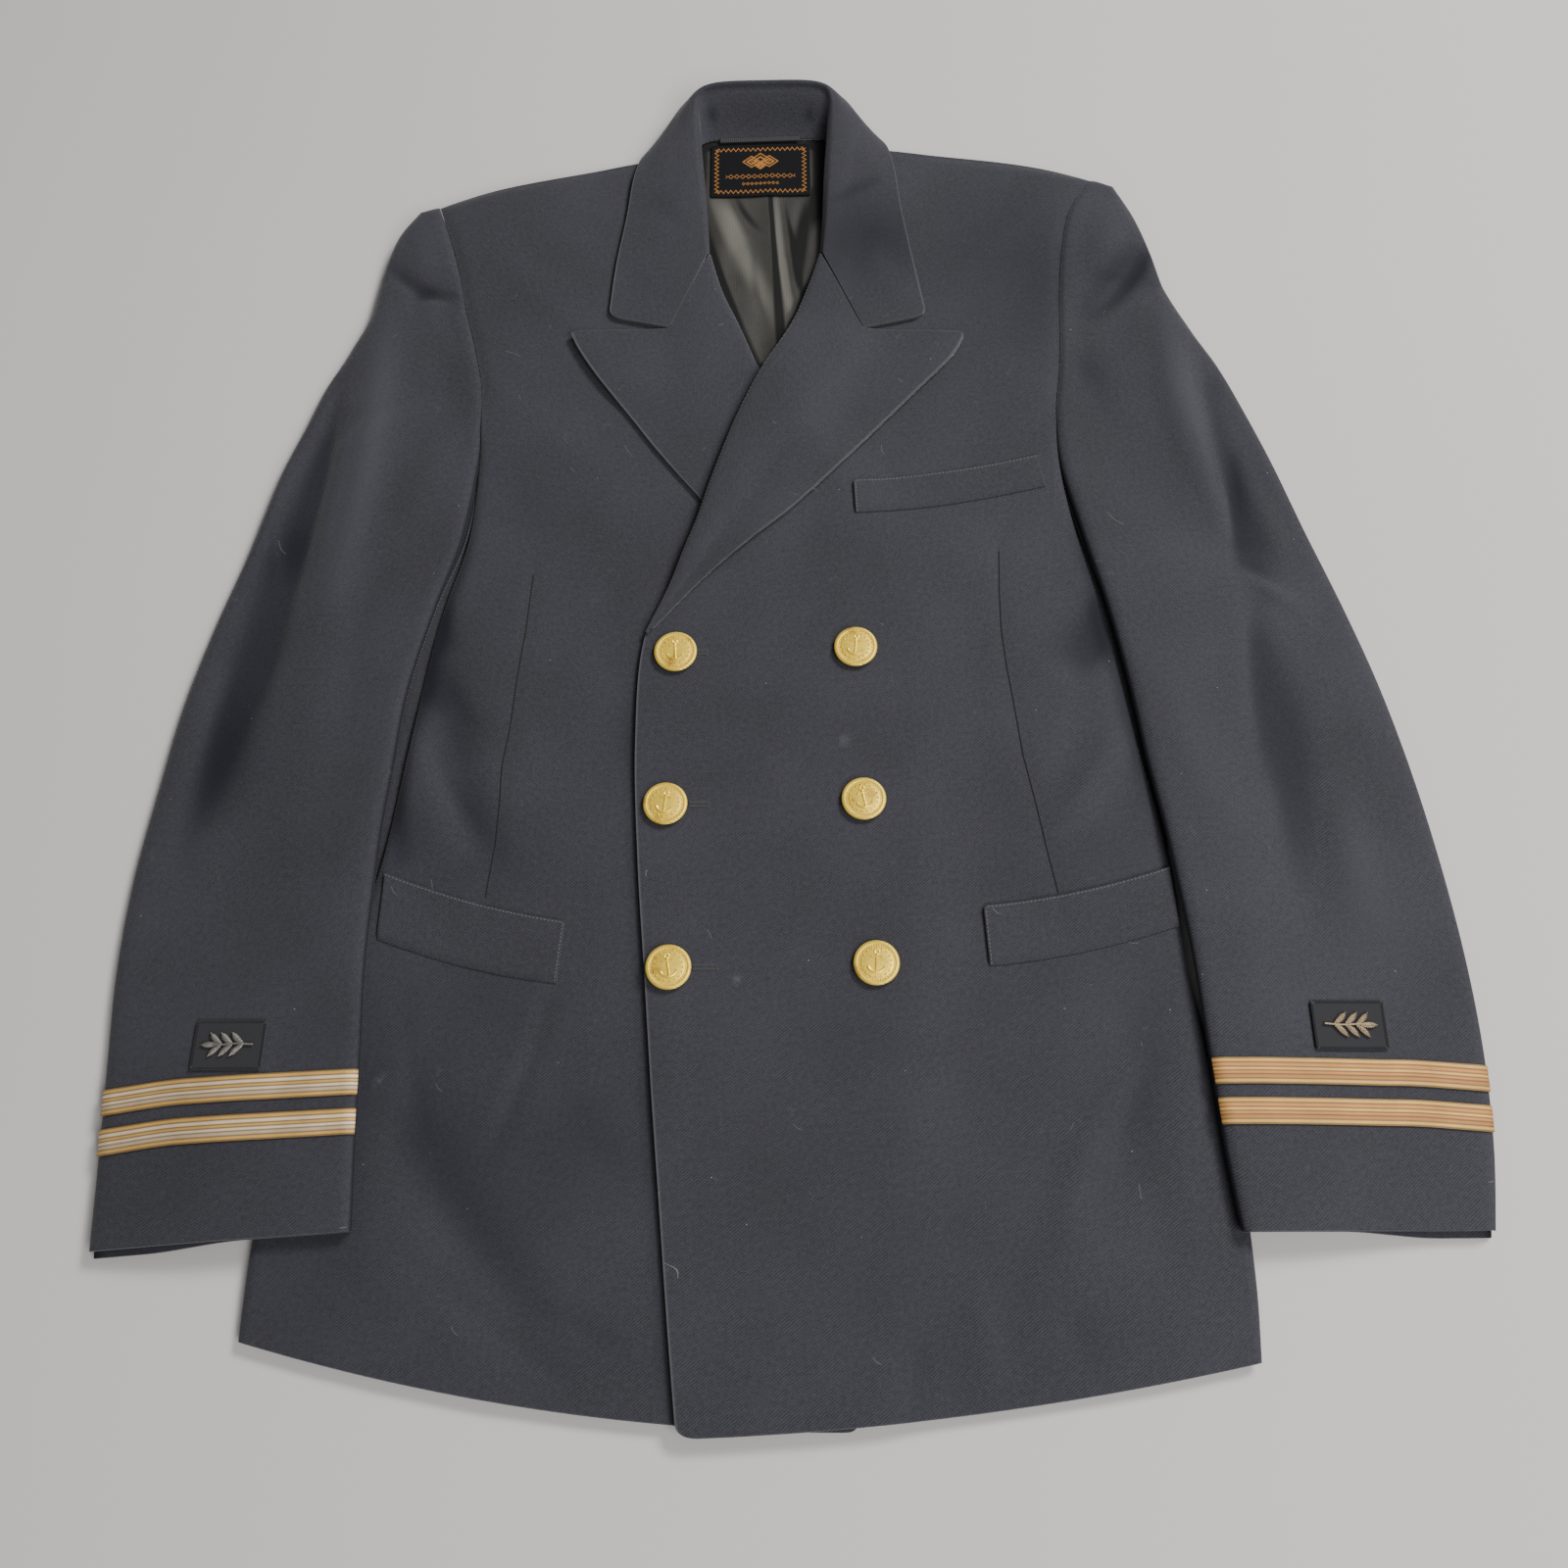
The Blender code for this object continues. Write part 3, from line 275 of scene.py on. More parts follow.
CREASES = as_rows(Fold, {
    "front_right": [
        (-188, 216, -172, 174, 2, 7, -1.6), (-197, 172, -170, 140, 2, 8, -1.4),
        (-194, 154, -156, 52, 5, 9, 1.8), (-172, 148, -130, 42, 4, 9, -1.1),
        (-199, 104, -190, 50, -2, 6, -1.5), (-186, -60, -78, -206, 0, 13, -0.9),
        (-200, -72, -110, -206, 8, 14, 0.9), (-100, -48, -62, -110, 3, 11, -0.5),
        (-90, -162, -50, -195, 2, 9, -0.6), (-176, -22, -190, -96, -3, 9, 0.7),
        (-84, 240, -78, 90, 2, 12, -0.6), (-140, 330, -70, 250, 8, 20, 0.8),
        (-160, 300, -120, 230, -5, 16, -0.9), (-170, 430, -90, 400, 8, 16, 0.7),
        (-181, -8, -163, -86, 2, 4, -0.5), (-104, 4, -134, -102, -3, 3.2, -0.6),
        (-112, 2, -140, -90, -3, 3.6, 0.5), (-184, -128, -84, -196, 2, 5, -0.8),
        (-112, -158, -62, -180, -2, 3, -0.5), (-126, -8, -90, -26, 2, 3, -0.45),
        (-178, 166, -150, 126, 2, 3.6, -1.1), (-190, 142, -140, 60, 3, 4, -0.7)],
    "front_left": [
        (181, 206, 159, 148, -3, 8, -1.6), (184, 128, 141, 66, -4, 8, 1.8),
        (168, 154, 140, 82, -5, 9, -1.1), (183, -44, 137, -133, 5, 10, 1.8),
        (166, -48, 111, -180, 7, 13, -0.9), (193, -44, 163, -94, 3, 7, -0.8),
        (71, -170, 70, -216, 0, 6, -0.6), (138, -152, 155, -200, 0, 8, -0.6),
        (206, -40, 196, -150, 4, 10, 0.9), (100, -148, 106, -204, 2, 7, 0.7),
        (-30, 150, 30, 20, -10, 26, 0.6), (80, 60, 20, -60, 8, 26, -0.6),
        (60, 260, 150, 200, 8, 18, 0.5), (140, 345, 95, 250, -6, 18, -0.7),
        (-50, 60, -44, -120, 3, 10, 0.4)],
    "sleeve_right": [
        (-209, 464, -203, 406, 0, 15, 2.2), (-230, 428, -181, 402, 6, 4.5, -2.2),
        (-243, 394, -254, 224, -3, 5, 1.6), (-246, 374, -268, 206, -4, 7, -2.0),
        (-252, 347, -290, 224, 5, 7, 2.2), (-262, 206, -308, 43, 5, 10, -2.1),
        (-243, 192, -245, 52, -4, 16, 1.5), (-247, 295, -199, 336, -3, 5, 1.1),
        (-276, 254, -268, 208, 0, 3.5, 1.0), (-186, 425, -203, 385, 3, 5, 0.7),
        (-195, 380, -180, 300, -3, 9, -0.8), (-300, 170, -314, 40, -4, 10, 1.0),
        (-215, 240, -224, 90, 4, 12, -0.8), (-205, 110, -214, 20, 3, 9, 0.6),
        (-235, 30, -240, -60, -3, 14, -0.6), (-255, 312, -265, 192, 0, 4.2, -1.5),
        (-240, 318, -250, 214, -1, 3.2, 0.9), (-264, 226, -273, 140, 0, 5, -1.2)],
    "sleeve_left": [
        (225, 435, 182, 380, -4, 4.4, -2.3), (205, 464, 196, 413, 0, 13, 1.8),
        (236, 382, 254, 220, 3, 5, 1.5), (238, 374, 262, 212, 3, 7, -1.8),
        (254, 332, 282, 223, 4, 7, 1.8), (255, 219, 294, 189, 0, 4.5, 2.4),
        (262, 186, 268, 12, -3, 9, -1.2), (292, 102, 304, 12, 3, 13, 2.2),
        (205, 172, 238, 64, 5, 14, 1.2), (167, 372, 188, 339, 2, 6, -0.4),
        (176, 395, 196, 300, 4, 9, -0.7), (300, 200, 328, 60, 5, 10, 0.8),
        (240, 60, 246, -50, 4, 14, 0.5), (290, -20, 300, -112, -3, 12, -0.6),
        (258, 296, 254, 214, 0, 4, -1.4), (253, 229, 299, 182, 0, 4, -1.1),
        (262, 226, 256, 92, 1, 7, -1.4), (250, 205, 246, 120, 0, 6, 0.8)],
    "collar": [
        (33, 464, 65, 484, 0, 4, -0.9), (-72, 476, -50, 446, 2, 7, -0.5),
        (60, 440, 74, 402, 3, 9, 0.4), (-80, 430, -70, 396, -3, 9, 0.4)],
    "lining": [
        (-44, 484, -12, 366, -9, 10, 1.2), (-24, 476, -14, 398, 3, 5, -0.3),
        (-34, 446, -6, 350, 6, 6, 0.7), (-40, 478, -22, 440, -4, 5, 0.4),
        (12, 480, 16, 396, 3, 5, 0.8), (26, 478, 12, 400, 4, 4, 0.5)],
    "back": [
        (-150, 330, -60, 250, 10, 22, 0.5), (150, 340, 70, 240, -10, 22, 0.5),
        (-180, 120, -80, 60, -8, 16, 0.4), (170, 110, 60, 70, 8, 18, 0.4),
        (-200, -20, -150, -150, 9, 20, 0.5), (190, -30, 130, -160, -9, 20, 0.5),
        (-60, 60, -40, -120, 5, 24, 0.4), (50, 20, 38, -140, -5, 22, 0.4)],
    "under_sleeve": [
        (-230, 300, -250, 120, -6, 14, 0.5), (-280, 160, -296, 20, 5, 12, 0.5),
        (-240, 60, -256, -60, 4, 15, 0.4), (230, 300, 262, 120, 6, 14, 0.5),
        (292, 160, 308, 20, -5, 12, 0.5), (258, 60, 274, -60, -4, 15, 0.4)]})
# Painted highlights where the satin is taken to catch the light (above 0), and painted shade where it
# lies in the dark of a fold (below 0)
SATIN_PAINTED_LIGHT_AND_SHADE = [Fold(*row) for row in (
    (-45, 491, 6, 377, -2, 6.5, 1.9), (-30, 482, -18, 440, 0, 5, 1.0),
    (-25, 486, -3, 448, 3, 3.2, -2.0), (-42, 478, -20, 380, 3, 4.2, -2.0),
    (1, 488, 11, 388, 1, 2.6, 2.0), (6, 482, 18, 403, 0, 1.7, -2.2),
    (24, 486, 15, 403, 2, 5.0, -2.6), (7, 434, 12, 390, 0, 3, 1.2),
    (-12, 440, -2, 372, 2, 2.5, -1.0))]
# Each dart's seam from the chest down
DARTS = {
    "right": [(-130, 220), (-132, 188), (-135, 159), (-137, 130), (-140, 108), (-140, 87),
              (-141, 65), (-144, 36)],
    "left": [(125, 233), (124, 208), (124, 185), (126, 162), (129, 139), (132, 112), (137, 87),
             (141, 64), (146, 37)]}
WELTS = {
    "welt_lower_right": Welt("right", -102, 24, -196, 50, -197, 15, -105, -8, -3),
    "welt_lower_left": Welt("left", 108, 31, 202.5, 51, 205, 20, 110, 0, -3),
    "welt_breast": Welt("left", 46, 276, 149, 292, 153, 272, 47, 255, -2)}
BUTTONS = [
    ("right_top", -50, 171, 4), ("right_middle", -53, 85, -7), ("right_low", -49, -1, 9),
    ("left_top", 46, 173, -5), ("left_middle", 49, 87, 12), ("left_low", 54, 1, -3)]
# Half of a button's section from the middle of its face round to the middle of its back: share of
# the radius, and height in millimetres
BUTTON_SECTION = (
    (0.0, 3.3), (0.3, 3.25), (0.55, 3.05), (0.72, 2.75), (0.76, 2.55), (0.8, 2.5), (0.83, 2.75),
    (0.86, 2.85), (0.9, 2.8), (0.95, 2.65), (0.985, 2.35), (1.0, 2.0), (0.99, 1.5), (0.94, 1.1),
    (0.82, 0.5), (0.5, 0.2), (0.0, 0.15))
# Broad places painted darker as shade, where the cloth is taken to turn away from the light (above 0),
# or painted lighter as light, where it turns towards it (below 0); only the colour changes
SHADES = as_rows(Shade, {
    "front_right": [(-180, -90, 90, 1.4), (-165, 75, 50, 1.0), (-112, -42, 34, -1.1)],
    "front_left": [(155, 415, 75, 1.4), (165, 50, 60, 0.9), (75, 345, 40, 0.4),
                   (60, -150, 90, 0.6)],
    "sleeve_right": [(-285, 110, 40, 0.9), (-215, 430, 40, 0.4), (-258, -10, 45, -1.6),
                     (-264, 237, 16, 0.9)],
    "sleeve_left": [(205, 395, 75, 1.2), (240, 270, 45, 1.1), (178, 376, 18, -1.4),
                    (193, 402, 17, -1.1), (300, 10, 50, -1.8),
                    (204, 430, 22, 0.9)],
    "collar": [(62, 440, 38, 2.1), (-37, 533, 4, 1.8), (23, 532, 4, 1.8),
               (-70, 470, 20, 0.4)]})
# The lace: its dark lines from one border to the other, and how each cuff's has aged
LACE_LINES = (0.45, 2.5, 4.6, 6.3, 8.1, 10.2, 12.25)
LACE_WARMTH = {"right": 0.0, "left": 0.75}
LACE_TONES = {"right": (1.2, 1.18, 1.16), "left": (0.79, 0.54, 0.38)}
LACE_FROM_CUFF = {"right": 45.5, "left": 48.0}
PATCHES = {"right": Patch(-263, -39.5, 36, 24.5, -0.02),
           "left": Patch(282, -30.5, 36.5, 24.0, 0.02)}
LABEL = Patch(-7.5, 497.0, 60.5, 39.0, 0.01)
LABEL_MARGIN = 3.6
# The label's ornament: large diamonds by place and size, and rows of small ones by height, size,
# pitch and half length
LABEL_DIAMONDS = ((0.0, 7.6, 5.2), (-5.4, 6.6, 4.2), (5.4, 6.6, 4.2), (0.0, 3.4, 2.4))
LABEL_ROWS = ((-4.5, 1.5, 3.6, 21.0), (-10.0, 0.9, 2.6, 11.0))
LOOP = Patch(-8, 520.2, 49, 3.2, 0.02)

# The camera's place in the jacket's frame, and its axes as the columns of a turn
CAMERA_PLACE = (0.01914, -0.35429, 0.770)
CAMERA_TURN = ((0.99965945, 0.00679004, 0.0251967), (0.00238882, 0.93769009, -0.34746452),
               (-0.025986, 0.34740639, 0.93735454))


def ramp(value, start, end):
    """A soft step from 0 at start to 1 at end."""
    t = np.clip((value - start) / (end - start), 0.0, 1.0)
    return t * t * (3.0 - 2.0 * t)


def rounded(distance, radius):
    """Height share of an edge that rolls over a quarter circle."""
    t = 1.0 - np.clip(distance / radius, 0.0, 1.0)
    return np.sqrt(np.maximum(0.0, 1.0 - t * t))


def bell(distance, width):
    """A soft bump, 1 at no distance."""
    return np.exp(-(distance / width) ** 2)


def curve(a, b, c, d, f):
    """A smooth curve from b at 0 to c at 1, past a before them and d after them."""
    return 0.5 * (2 * b + (c - a) * f + (2 * a - 5 * b + 4 * c - d) * f * f
                  + (3 * b - a - 3 * c + d) * f ** 3)


def through(values, t):
    """A smooth curve through evenly numbered values, at the fractional numbers t."""
    values = np.asarray(values, float)
    last = len(values) - 1
    i = np.clip(t.astype(int), 0, last - 1)
    f = (t - i).reshape(t.shape + (1,) * (values.ndim - 1))
    return curve(values[np.maximum(i - 1, 0)], values[i], values[i + 1],
                 values[np.minimum(i + 2, last)], f)


def columns_at(table, t):
    """The table's columns at the fractional rows t, each with t's shape."""
    found = through(np.array([list(row) for row in table], float), t)
    return [found[..., k] for k in range(found.shape[-1])]


def fold_height(folds, x, y):
    """The sum of the soft ridges and troughs at each place."""
    total = np.zeros(np.broadcast(x, y).shape)
    for fold in folds:
        dx, dy = fold.x1 - fold.x0, fold.y1 - fold.y0
        length = math.hypot(dx, dy)
        along = ((x - fold.x0) * dx + (y - fold.y0) * dy) / length ** 2
        fade = np.sin(math.pi * np.clip(along, 0.0, 1.0))
        off = ((x - fold.x0) * dy - (y - fold.y0) * dx) / length - fold.bend * fade
        total += fold.height * fade ** 0.7 * bell(off, fold.width)
    return total


def settled(height):
    """Troughs level off before they reach the layer below."""
    deep = np.minimum(height + TROUGH_FROM, 0.0)
    return height - deep + TROUGH_SOFT * np.tanh(deep / TROUGH_SOFT)


def creased(name, x, y):
    """All the folds of a panel."""
    return settled(fold_height(FOLDS[name] + CREASES[name], x, y))


def painted_broad_shade(name, x, y):
    """The painted shade of a panel's broad places, and painted light where a depth is below 0; the form
    stays as it is.
    """
    return sum(row.depth * bell(np.hypot(x - row.x, y - row.y), row.reach) for row in SHADES[name])


def ripple(x, y):
    """Slight unevenness that all layers share, from waves in many directions."""
    chance = np.random.RandomState(11)
    total = 0.0
    for wave_length in (97.0, 71.0, 53.0, 41.0, 33.0, 27.0):
        angle, phase = chance.uniform(0.0, math.pi), chance.uniform(0.0, 2.0 * math.pi)
        across = (x * math.cos(angle) + y * math.sin(angle)) / wave_length
        slow = np.sin((y * math.cos(angle) - x * math.sin(angle)) / (2.3 * wave_length) + phase)
        total = total + wave_length / 97.0 * np.sin(2.0 * math.pi * across + 2.0 * slow + phase)
    return bpy.context.scene.jacket_cloth.unevenness / MM * total / 2.5


def shoulder_lift(x, y):
    """The padded shoulders hold every layer off the surface."""
    return LIFT * ramp(y, *SHOULDER_Y) * ramp(abs(x - NECK_X), *SHOULDER_X)


def edge_x(side, y):
    """Where a front's inner edge is at a height y."""
    table = FRONTS[side]
    return np.interp(y, [row.inner_y for row in table], [row.inner_x for row in table])


def overlap_lift(x, y):
    """What lies under the left front raises it: the right front, and near V the right lapel."""
    over_front = ramp(edge_x("right", y) - x, *OVERLAP_FROM_EDGE)
    over_front = over_front * (1.0 - ramp(y, *OVERLAP_TOP_Y))
    from_roll = x - edge_x("left", y)
    over_lapel = 1.0 - ramp(from_roll, *UNDER_LAPEL_X)
    over_lapel = over_lapel * ramp(y, *UNDER_LAPEL_LOW_Y) * (1.0 - ramp(y, *UNDER_LAPEL_TOP_Y))
    return (CLOTH + LAYER_GAP) * over_front + (FACED + LAYER_GAP) * over_lapel


def from_dart(side, x, y):
    """Signed distance from the dart's sewn line, and the distance past that line's ends."""
    line = sorted((point[1], point[0]) for point in DARTS[side])
    heights = [point[0] for point in line]
    past = np.maximum(0.0, heights[0] - y) + np.maximum(0.0, y - heights[-1])
    return x - np.interp(y, heights, [point[1] for point in line]), past


def front_top(side, x, y):
    """Outer surface of a front, away from its rolled edges."""
    height = BODY_TOP + shoulder_lift(x, y) + ripple(x, y)
    height = height + creased("front_" + side, x, y)
    aside, past = from_dart(side, x, y)
    height = height - 0.45 * bell(aside, 3.5) * bell(past, 12.0)
    return height if side == "right" else height + overlap_lift(x, y)


def row_point(row, s):
    """Places on cross lines, s from 0 at the inner edge to 1 at the outer edge."""
    inner_x, inner_y, outer_x, outer_y, bow = row
    return (inner_x + (outer_x - inner_x) * s,
            inner_y + (outer_y - inner_y) * s + bow * 4.0 * s * (1.0 - s))


def round_corner(across, along, radius):
    """Draws a panel's corner in to a quarter circle, by the distances from its two edges."""
    a = np.clip(1.0 - across / radius, 0.0, 1.0)
    b = np.clip(1.0 - along / radius, 0.0, 1.0)
    return (across + radius * a * (1.0 - np.sqrt(1.0 - b * b / 2.0)),
            along + radius * b * (1.0 - np.sqrt(1.0 - a * a / 2.0)))


def front_surface(side, t, s):
    """A front, with its rolled side, its shoulder and its hem."""
    table = FRONTS[side]
    row = columns_at(table, t)
    width = abs(row[2] - row[0])
    corner = {"right": 6.0, "left": 10.0}[side]
    across, along = round_corner(s * width, t * FRONT_PITCH, corner)
    s, t = across / width, along / FRONT_PITCH
    row = columns_at(table, t)
    inset = ROLL_INSET * ramp(t, BREAK_ROW, BREAK_ROW + 1.0)
    row[0] = row[0] + np.copysign(inset, row[2] - row[0])
    width = abs(row[2] - row[0])
    x, y = row_point(row, s)
    top_x, top_y = row_point(table[-1], s)
    underarm = UNDERARM_SOFT * bell(y - UNDERARM_Y, UNDERARM_SPAN)
    side_roll = rounded((1.0 - s) * width, SIDE_ROLL + underarm)
    side_roll = side_roll + (1.0 - side_roll) * ramp(y, *SIDE_FOLD_TOP_Y)
    shoulder = rounded(np.hypot(top_x - x, top_y - y), SHOULDER_ROLL)
    hem = HEM_HEIGHT + (1.0 - HEM_HEIGHT) * ramp(t, *HEM_ROWS)
    low = CLOTH + RIM_GAP + shoulder_lift(x, y)
    high = front_top(side, x, y) - SWELL * (1.0 - hem)
    z = low + (high - low) * np.minimum(side_roll, shoulder)
    armhole = ramp(y, SIDE_FOLD_TOP_Y[1], SIDE_FOLD_TOP_Y[1] + 20.0)
    z = z - 1.1 * bell((1.0 - s) * width, 4.0) * armhole * shoulder
    return np.stack([x, y, z], axis=-1)


def front_painted_light_and_shade(side, x, y, t, s):
    """Painted light and shade of a front: its folds, painted darker as shade where the underarm, the
    lapel over its inner edge and the closed front's edge keep light out, and by the broad painted
    shades.
    """
    from_side = (1.0 - s) * abs(edge_x(side, y) - x).max()
    low, full, high, end = UNDERARM_SHADE
    shade = 2.1 * bell(from_side, 8.0) * ramp(y, low, full) * (1.0 - ramp(y, high, end))
    shade = shade + 3.0 * ramp(t, BREAK_ROW, BREAK_ROW + 1.0) * (1.0 - ramp(FRONT_WIDE * s, 0.0, 3.0))
    if side == "right":
        shade = shade + 1.5 * bell(edge_x("left", y) - x, 6.0) * (1.0 - ramp(y, 150.0, 200.0))
    return 0.75 * creased("front_" + side, x, y) - shade - painted_broad_shade("front_" + side, x, y)


def back_surface(side, t, s):
    """The back halves lie flat, with a few low hollows underneath."""
    x, y = row_point(columns_at(BACKS[side], t), s)
    z = CLOTH + shoulder_lift(x, y) + np.maximum(0.0, fold_height(CREASES["back"], x, y))
    return np.stack([x + 0 * z, y + 0 * z, z], axis=-1)


def from_pleat(x, y):
    """Signed distance from the pleat that runs down the middle of the lining."""
    return 0.066 * (479.0 - y) - 1.5 - x


def lining_height(x, y):
    """The lining's folds, and the pleat that opens below the label."""
    pleat = from_pleat(x, y)
    open_pleat = ramp(pleat, -0.5, 0.4) * (1.0 - ramp(pleat, 2.0, 14.0)) * (1.0 - ramp(y, 470, 496))
    free = 1.0 - ramp(y, 470.0, 492.0)
    folds = fold_height(FOLDS["lining"], x, y) + free * fold_height(CREASES["lining"], x, y)
    return CLOTH + SEAM_GAP + LINING + np.maximum(-0.3, folds) + 0.5 * open_pleat


def lining_shade(x, y):
    """How deep the lining lies in the shade of the collar and the lapels."""
    above = ramp(y, 440.0, 470.0)
    shade = ramp(y, 512.0, 516.0) + above * (ramp(x, 21.0, 26.0) + 1.0 - ramp(x, -42.0, -37.0))
    for side, way in (("right", 1.0), ("left", -1.0)):
        shade = shade + (1.0 - above) * (1.0 - ramp(way * (x - edge_x(side, y)), 1.0, 6.5))
    return shade


def lining_surface(t, s):
    """The lining, whose head is tucked down behind the collar's stand."""
    x, y = row_point(columns_at(BACK_LINING, t), s)
    x = x + LINING_HEAD_WIDER * ramp(y, *LINING_HEAD_Y) * (2.0 * s - 1.0)
    tucked = ramp(y, *LINING_TUCK_Y)
    return np.stack([x, y + LINING_TUCK_BACK * tucked,
                     lining_height(x, y) - LINING_TUCK_DOWN * tucked], axis=-1)


def body_support(side, x, y):
    """Height of the body's edge under a sleeve that lies on it."""
    table = FRONTS[side]
    edge = np.interp(y, [row.outer_y for row in table], [abs(row.outer_x) for row in table])
    reach = ramp(edge - abs(x), *SLEEVE_REST_X)
    share = 1.0 - SLEEVE_REST_UP * ramp(y, *SLEEVE_REST_LOW_Y)
    share = share * (1.0 - ramp(y, *SLEEVE_REST_TOP_Y))
    ridge = np.maximum(0.0, creased("front_" + side, x, y))
    return (BODY_TOP + LAYER_GAP + ridge) * reach * share


def sleeve_frame(side, t, s):
    """Plan place, lift and folds at places of a sleeve."""
    row = columns_at(SLEEVES[side], t)
    x, y = row_point(row, s)
    folds = fold_height(FOLDS["sleeve_" + side], x, y)
    lift = shoulder_lift(x, y) + body_support(side, x, y)
    return x, y, np.hypot(row[2] - row[0], row[3] - row[1]), lift, folds


def sleeve_surface(side, t, s):
    """A top sleeve, with its rolled edges, its head and its folds."""
    x, y, width, lift, folds = sleeve_frame(side, t, s)
    radius = np.minimum(SLEEVE_ROLL, 0.45 * width)
    free = ramp(t - SLEEVE_FREE, *ARMHOLE_ROWS)
    inner = rounded(s * width, radius)
    inner = inner + (1.0 - inner) * (1.0 - free)
    outer = rounded((1.0 - s) * width, radius)
    head = rounded(t * SLEEVE_HEAD_PITCH, SHOULDER_ROLL)
    low = CLOTH + RIM_GAP + lift + UNDER_SLEEVE_RIDGE * np.maximum(0.0, folds)
    high = BODY_TOP + lift + creased("sleeve_" + side, x, y) + ripple(x, y)
    z = low + (high - low) * np.minimum(np.minimum(inner, outer), head)
    rope = ARMHOLE_ROPE * bell(s * width - ARMHOLE_ROPE_WIDE, ARMHOLE_ROPE_WIDE)
    rope = rope - ARMHOLE_DIP * bell(s * width, ARMHOLE_DIP_WIDE)
    z = z + rope * (1.0 - free) * head
    return np.stack([x, y, z], axis=-1)


def sleeve_height(side, x, y):
    """Height of a top sleeve above a place on the flat of the sleeve."""
    height = BODY_TOP + shoulder_lift(x, y) + body_support(side, x, y)
    return height + creased("sleeve_" + side, x, y) + ripple(x, y)


def under_sleeve_surface(side, t, s):
    """The under sleeve, a little narrower than the top one except where the underarm closes."""
    x, y = sleeve_frame(side, t, s)[:2]
    closed = bell(y - UNDERARM_CLOSED_Y, UNDERARM_CLOSED_SPAN)
    inset = UNDER_INSET - UNDER_OUTSET * closed * (1.0 - ramp(abs(x), *UNDERARM_CLOSED_X))
    x, y, _, lift, folds = sleeve_frame(side, t, inset + (1.0 - 2.0 * inset) * s)
    last = len(SLEEVES[side]) - 1.0
    y = y - UNDER_CUFF * ramp(s, 0.4, 0.8) * ramp(t, last - 1.0, last)
    hollow = np.maximum(0.0, fold_height(CREASES["under_sleeve"], x, y))
    z = CLOTH + lift + UNDER_SLEEVE_RIDGE * np.maximum(0.0, folds) + hollow
    return np.stack([x, y, z], axis=-1)


def lapel_surface(side, t, s):
    """A lapel, which turns at its knee and rolls down round the front's edge."""
    row = columns_at(LAPELS[side], t)
    width = np.hypot(row[4] - row[0], row[5] - row[1])
    out, along = round_corner((1.0 - s) * width, t * LAPEL_END_PITCH, 7.0)
    s, t = 1.0 - out / width, along / LAPEL_END_PITCH
    row = columns_at(LAPELS[side], t)
    width = np.hypot(row[4] - row[0], row[5] - row[1])
    near = np.clip(s / LAPEL_KNEE, 0.0, 1.0)
    far = np.clip((s - LAPEL_KNEE) / (1.0 - LAPEL_KNEE), 0.0, 1.0)
    x = row[0] + (row[2] - row[0]) * near + (row[4] - row[2]) * far
    y = row[1] + (row[3] - row[1]) * near + (row[5] - row[3]) * far
    fade = 1.0 - ramp(t, *LAPEL_ENDS[side])
    spring = LAPEL_SPRING * fade * np.sin(math.pi * np.minimum(1.0, 1.6 * s + 0.1))
    spring = spring + EDGE_SPRING * fade * ramp(s, 0.55, 1.0)
    under = front_top(side, x, y)
    high = under + LAYER_GAP + FACED + spring
    tip = 0.0 if side == "right" else ramp(t, *LAPEL_TIP_ROWS)
    low = under - CLOTH * (1.0 - tip) + (RIM_GAP + LAYER_GAP) * tip
    roll = rounded(s * width, np.minimum(LAPEL_ROLL, 0.3 * width))
    if side == "right":
        roll = roll + (1.0 - roll) * ramp(t, *LAPEL_NO_ROLL_ROWS)
    return np.stack([x, y, low + (high - low) * roll], axis=-1)


def collar_surface(t, q):
    """The collar's visible side by part number q: 0 foot, 1 roll, 2 over, 3 knee, 4 edge."""
    last = len(COLLAR) - 1
    for _ in range(2):
        out, along = round_corner((4.0 - q) * 32.0, t * 34.0, 7.0)
        q, t = 4.0 - out / 32.0, last - along / 34.0
    foot, roll, knee, edge = (
        through(np.array([getattr(row, part) for row in COLLAR], float), t)
        for part in ("foot", "roll", "knee", "edge"))
    reach = np.linalg.norm((knee - roll)[..., :2], axis=-1, keepdims=True)
    over = roll + (knee - roll) * COLLAR_ROLL / reach
    crown = through(np.array([row.crown for row in COLLAR]), t)
    corners = np.stack([foot, roll, over, knee, edge])
    corners[2, ..., 2] = crown
    low = np.clip(q.astype(int), 0, 3)
    share = (q - low)[..., None]
    here = np.take_along_axis(corners, low[None, ..., None], axis=0)[0]
    there = np.take_along_axis(corners, low[None, ..., None] + 1, axis=0)[0]
    flat = here + (there - here) * share
    heights = [np.take_along_axis(corners[..., 2], np.clip(low + k, 0, 4)[None], axis=0)[0]
               for k in (-1, 0, 1, 2)]
    x, y = flat[..., 0], flat[..., 1]
    z = curve(*heights, share[..., 0])
    z = z + ramp(q, 2.0, 3.0) * (ripple(x, y) + fold_height(CREASES["collar"], x, y))
    return np.stack([x, y, z], axis=-1)


def over_turn(radius, length=1.0):
    """Shares of a length that follow even angles round a rolled end, from the edge in."""
    return np.array([radius * (1.0 - math.cos(math.radians(angle))) / length
                     for angle in (0, 12, 24, 36, 48, 60, 72, 84)])


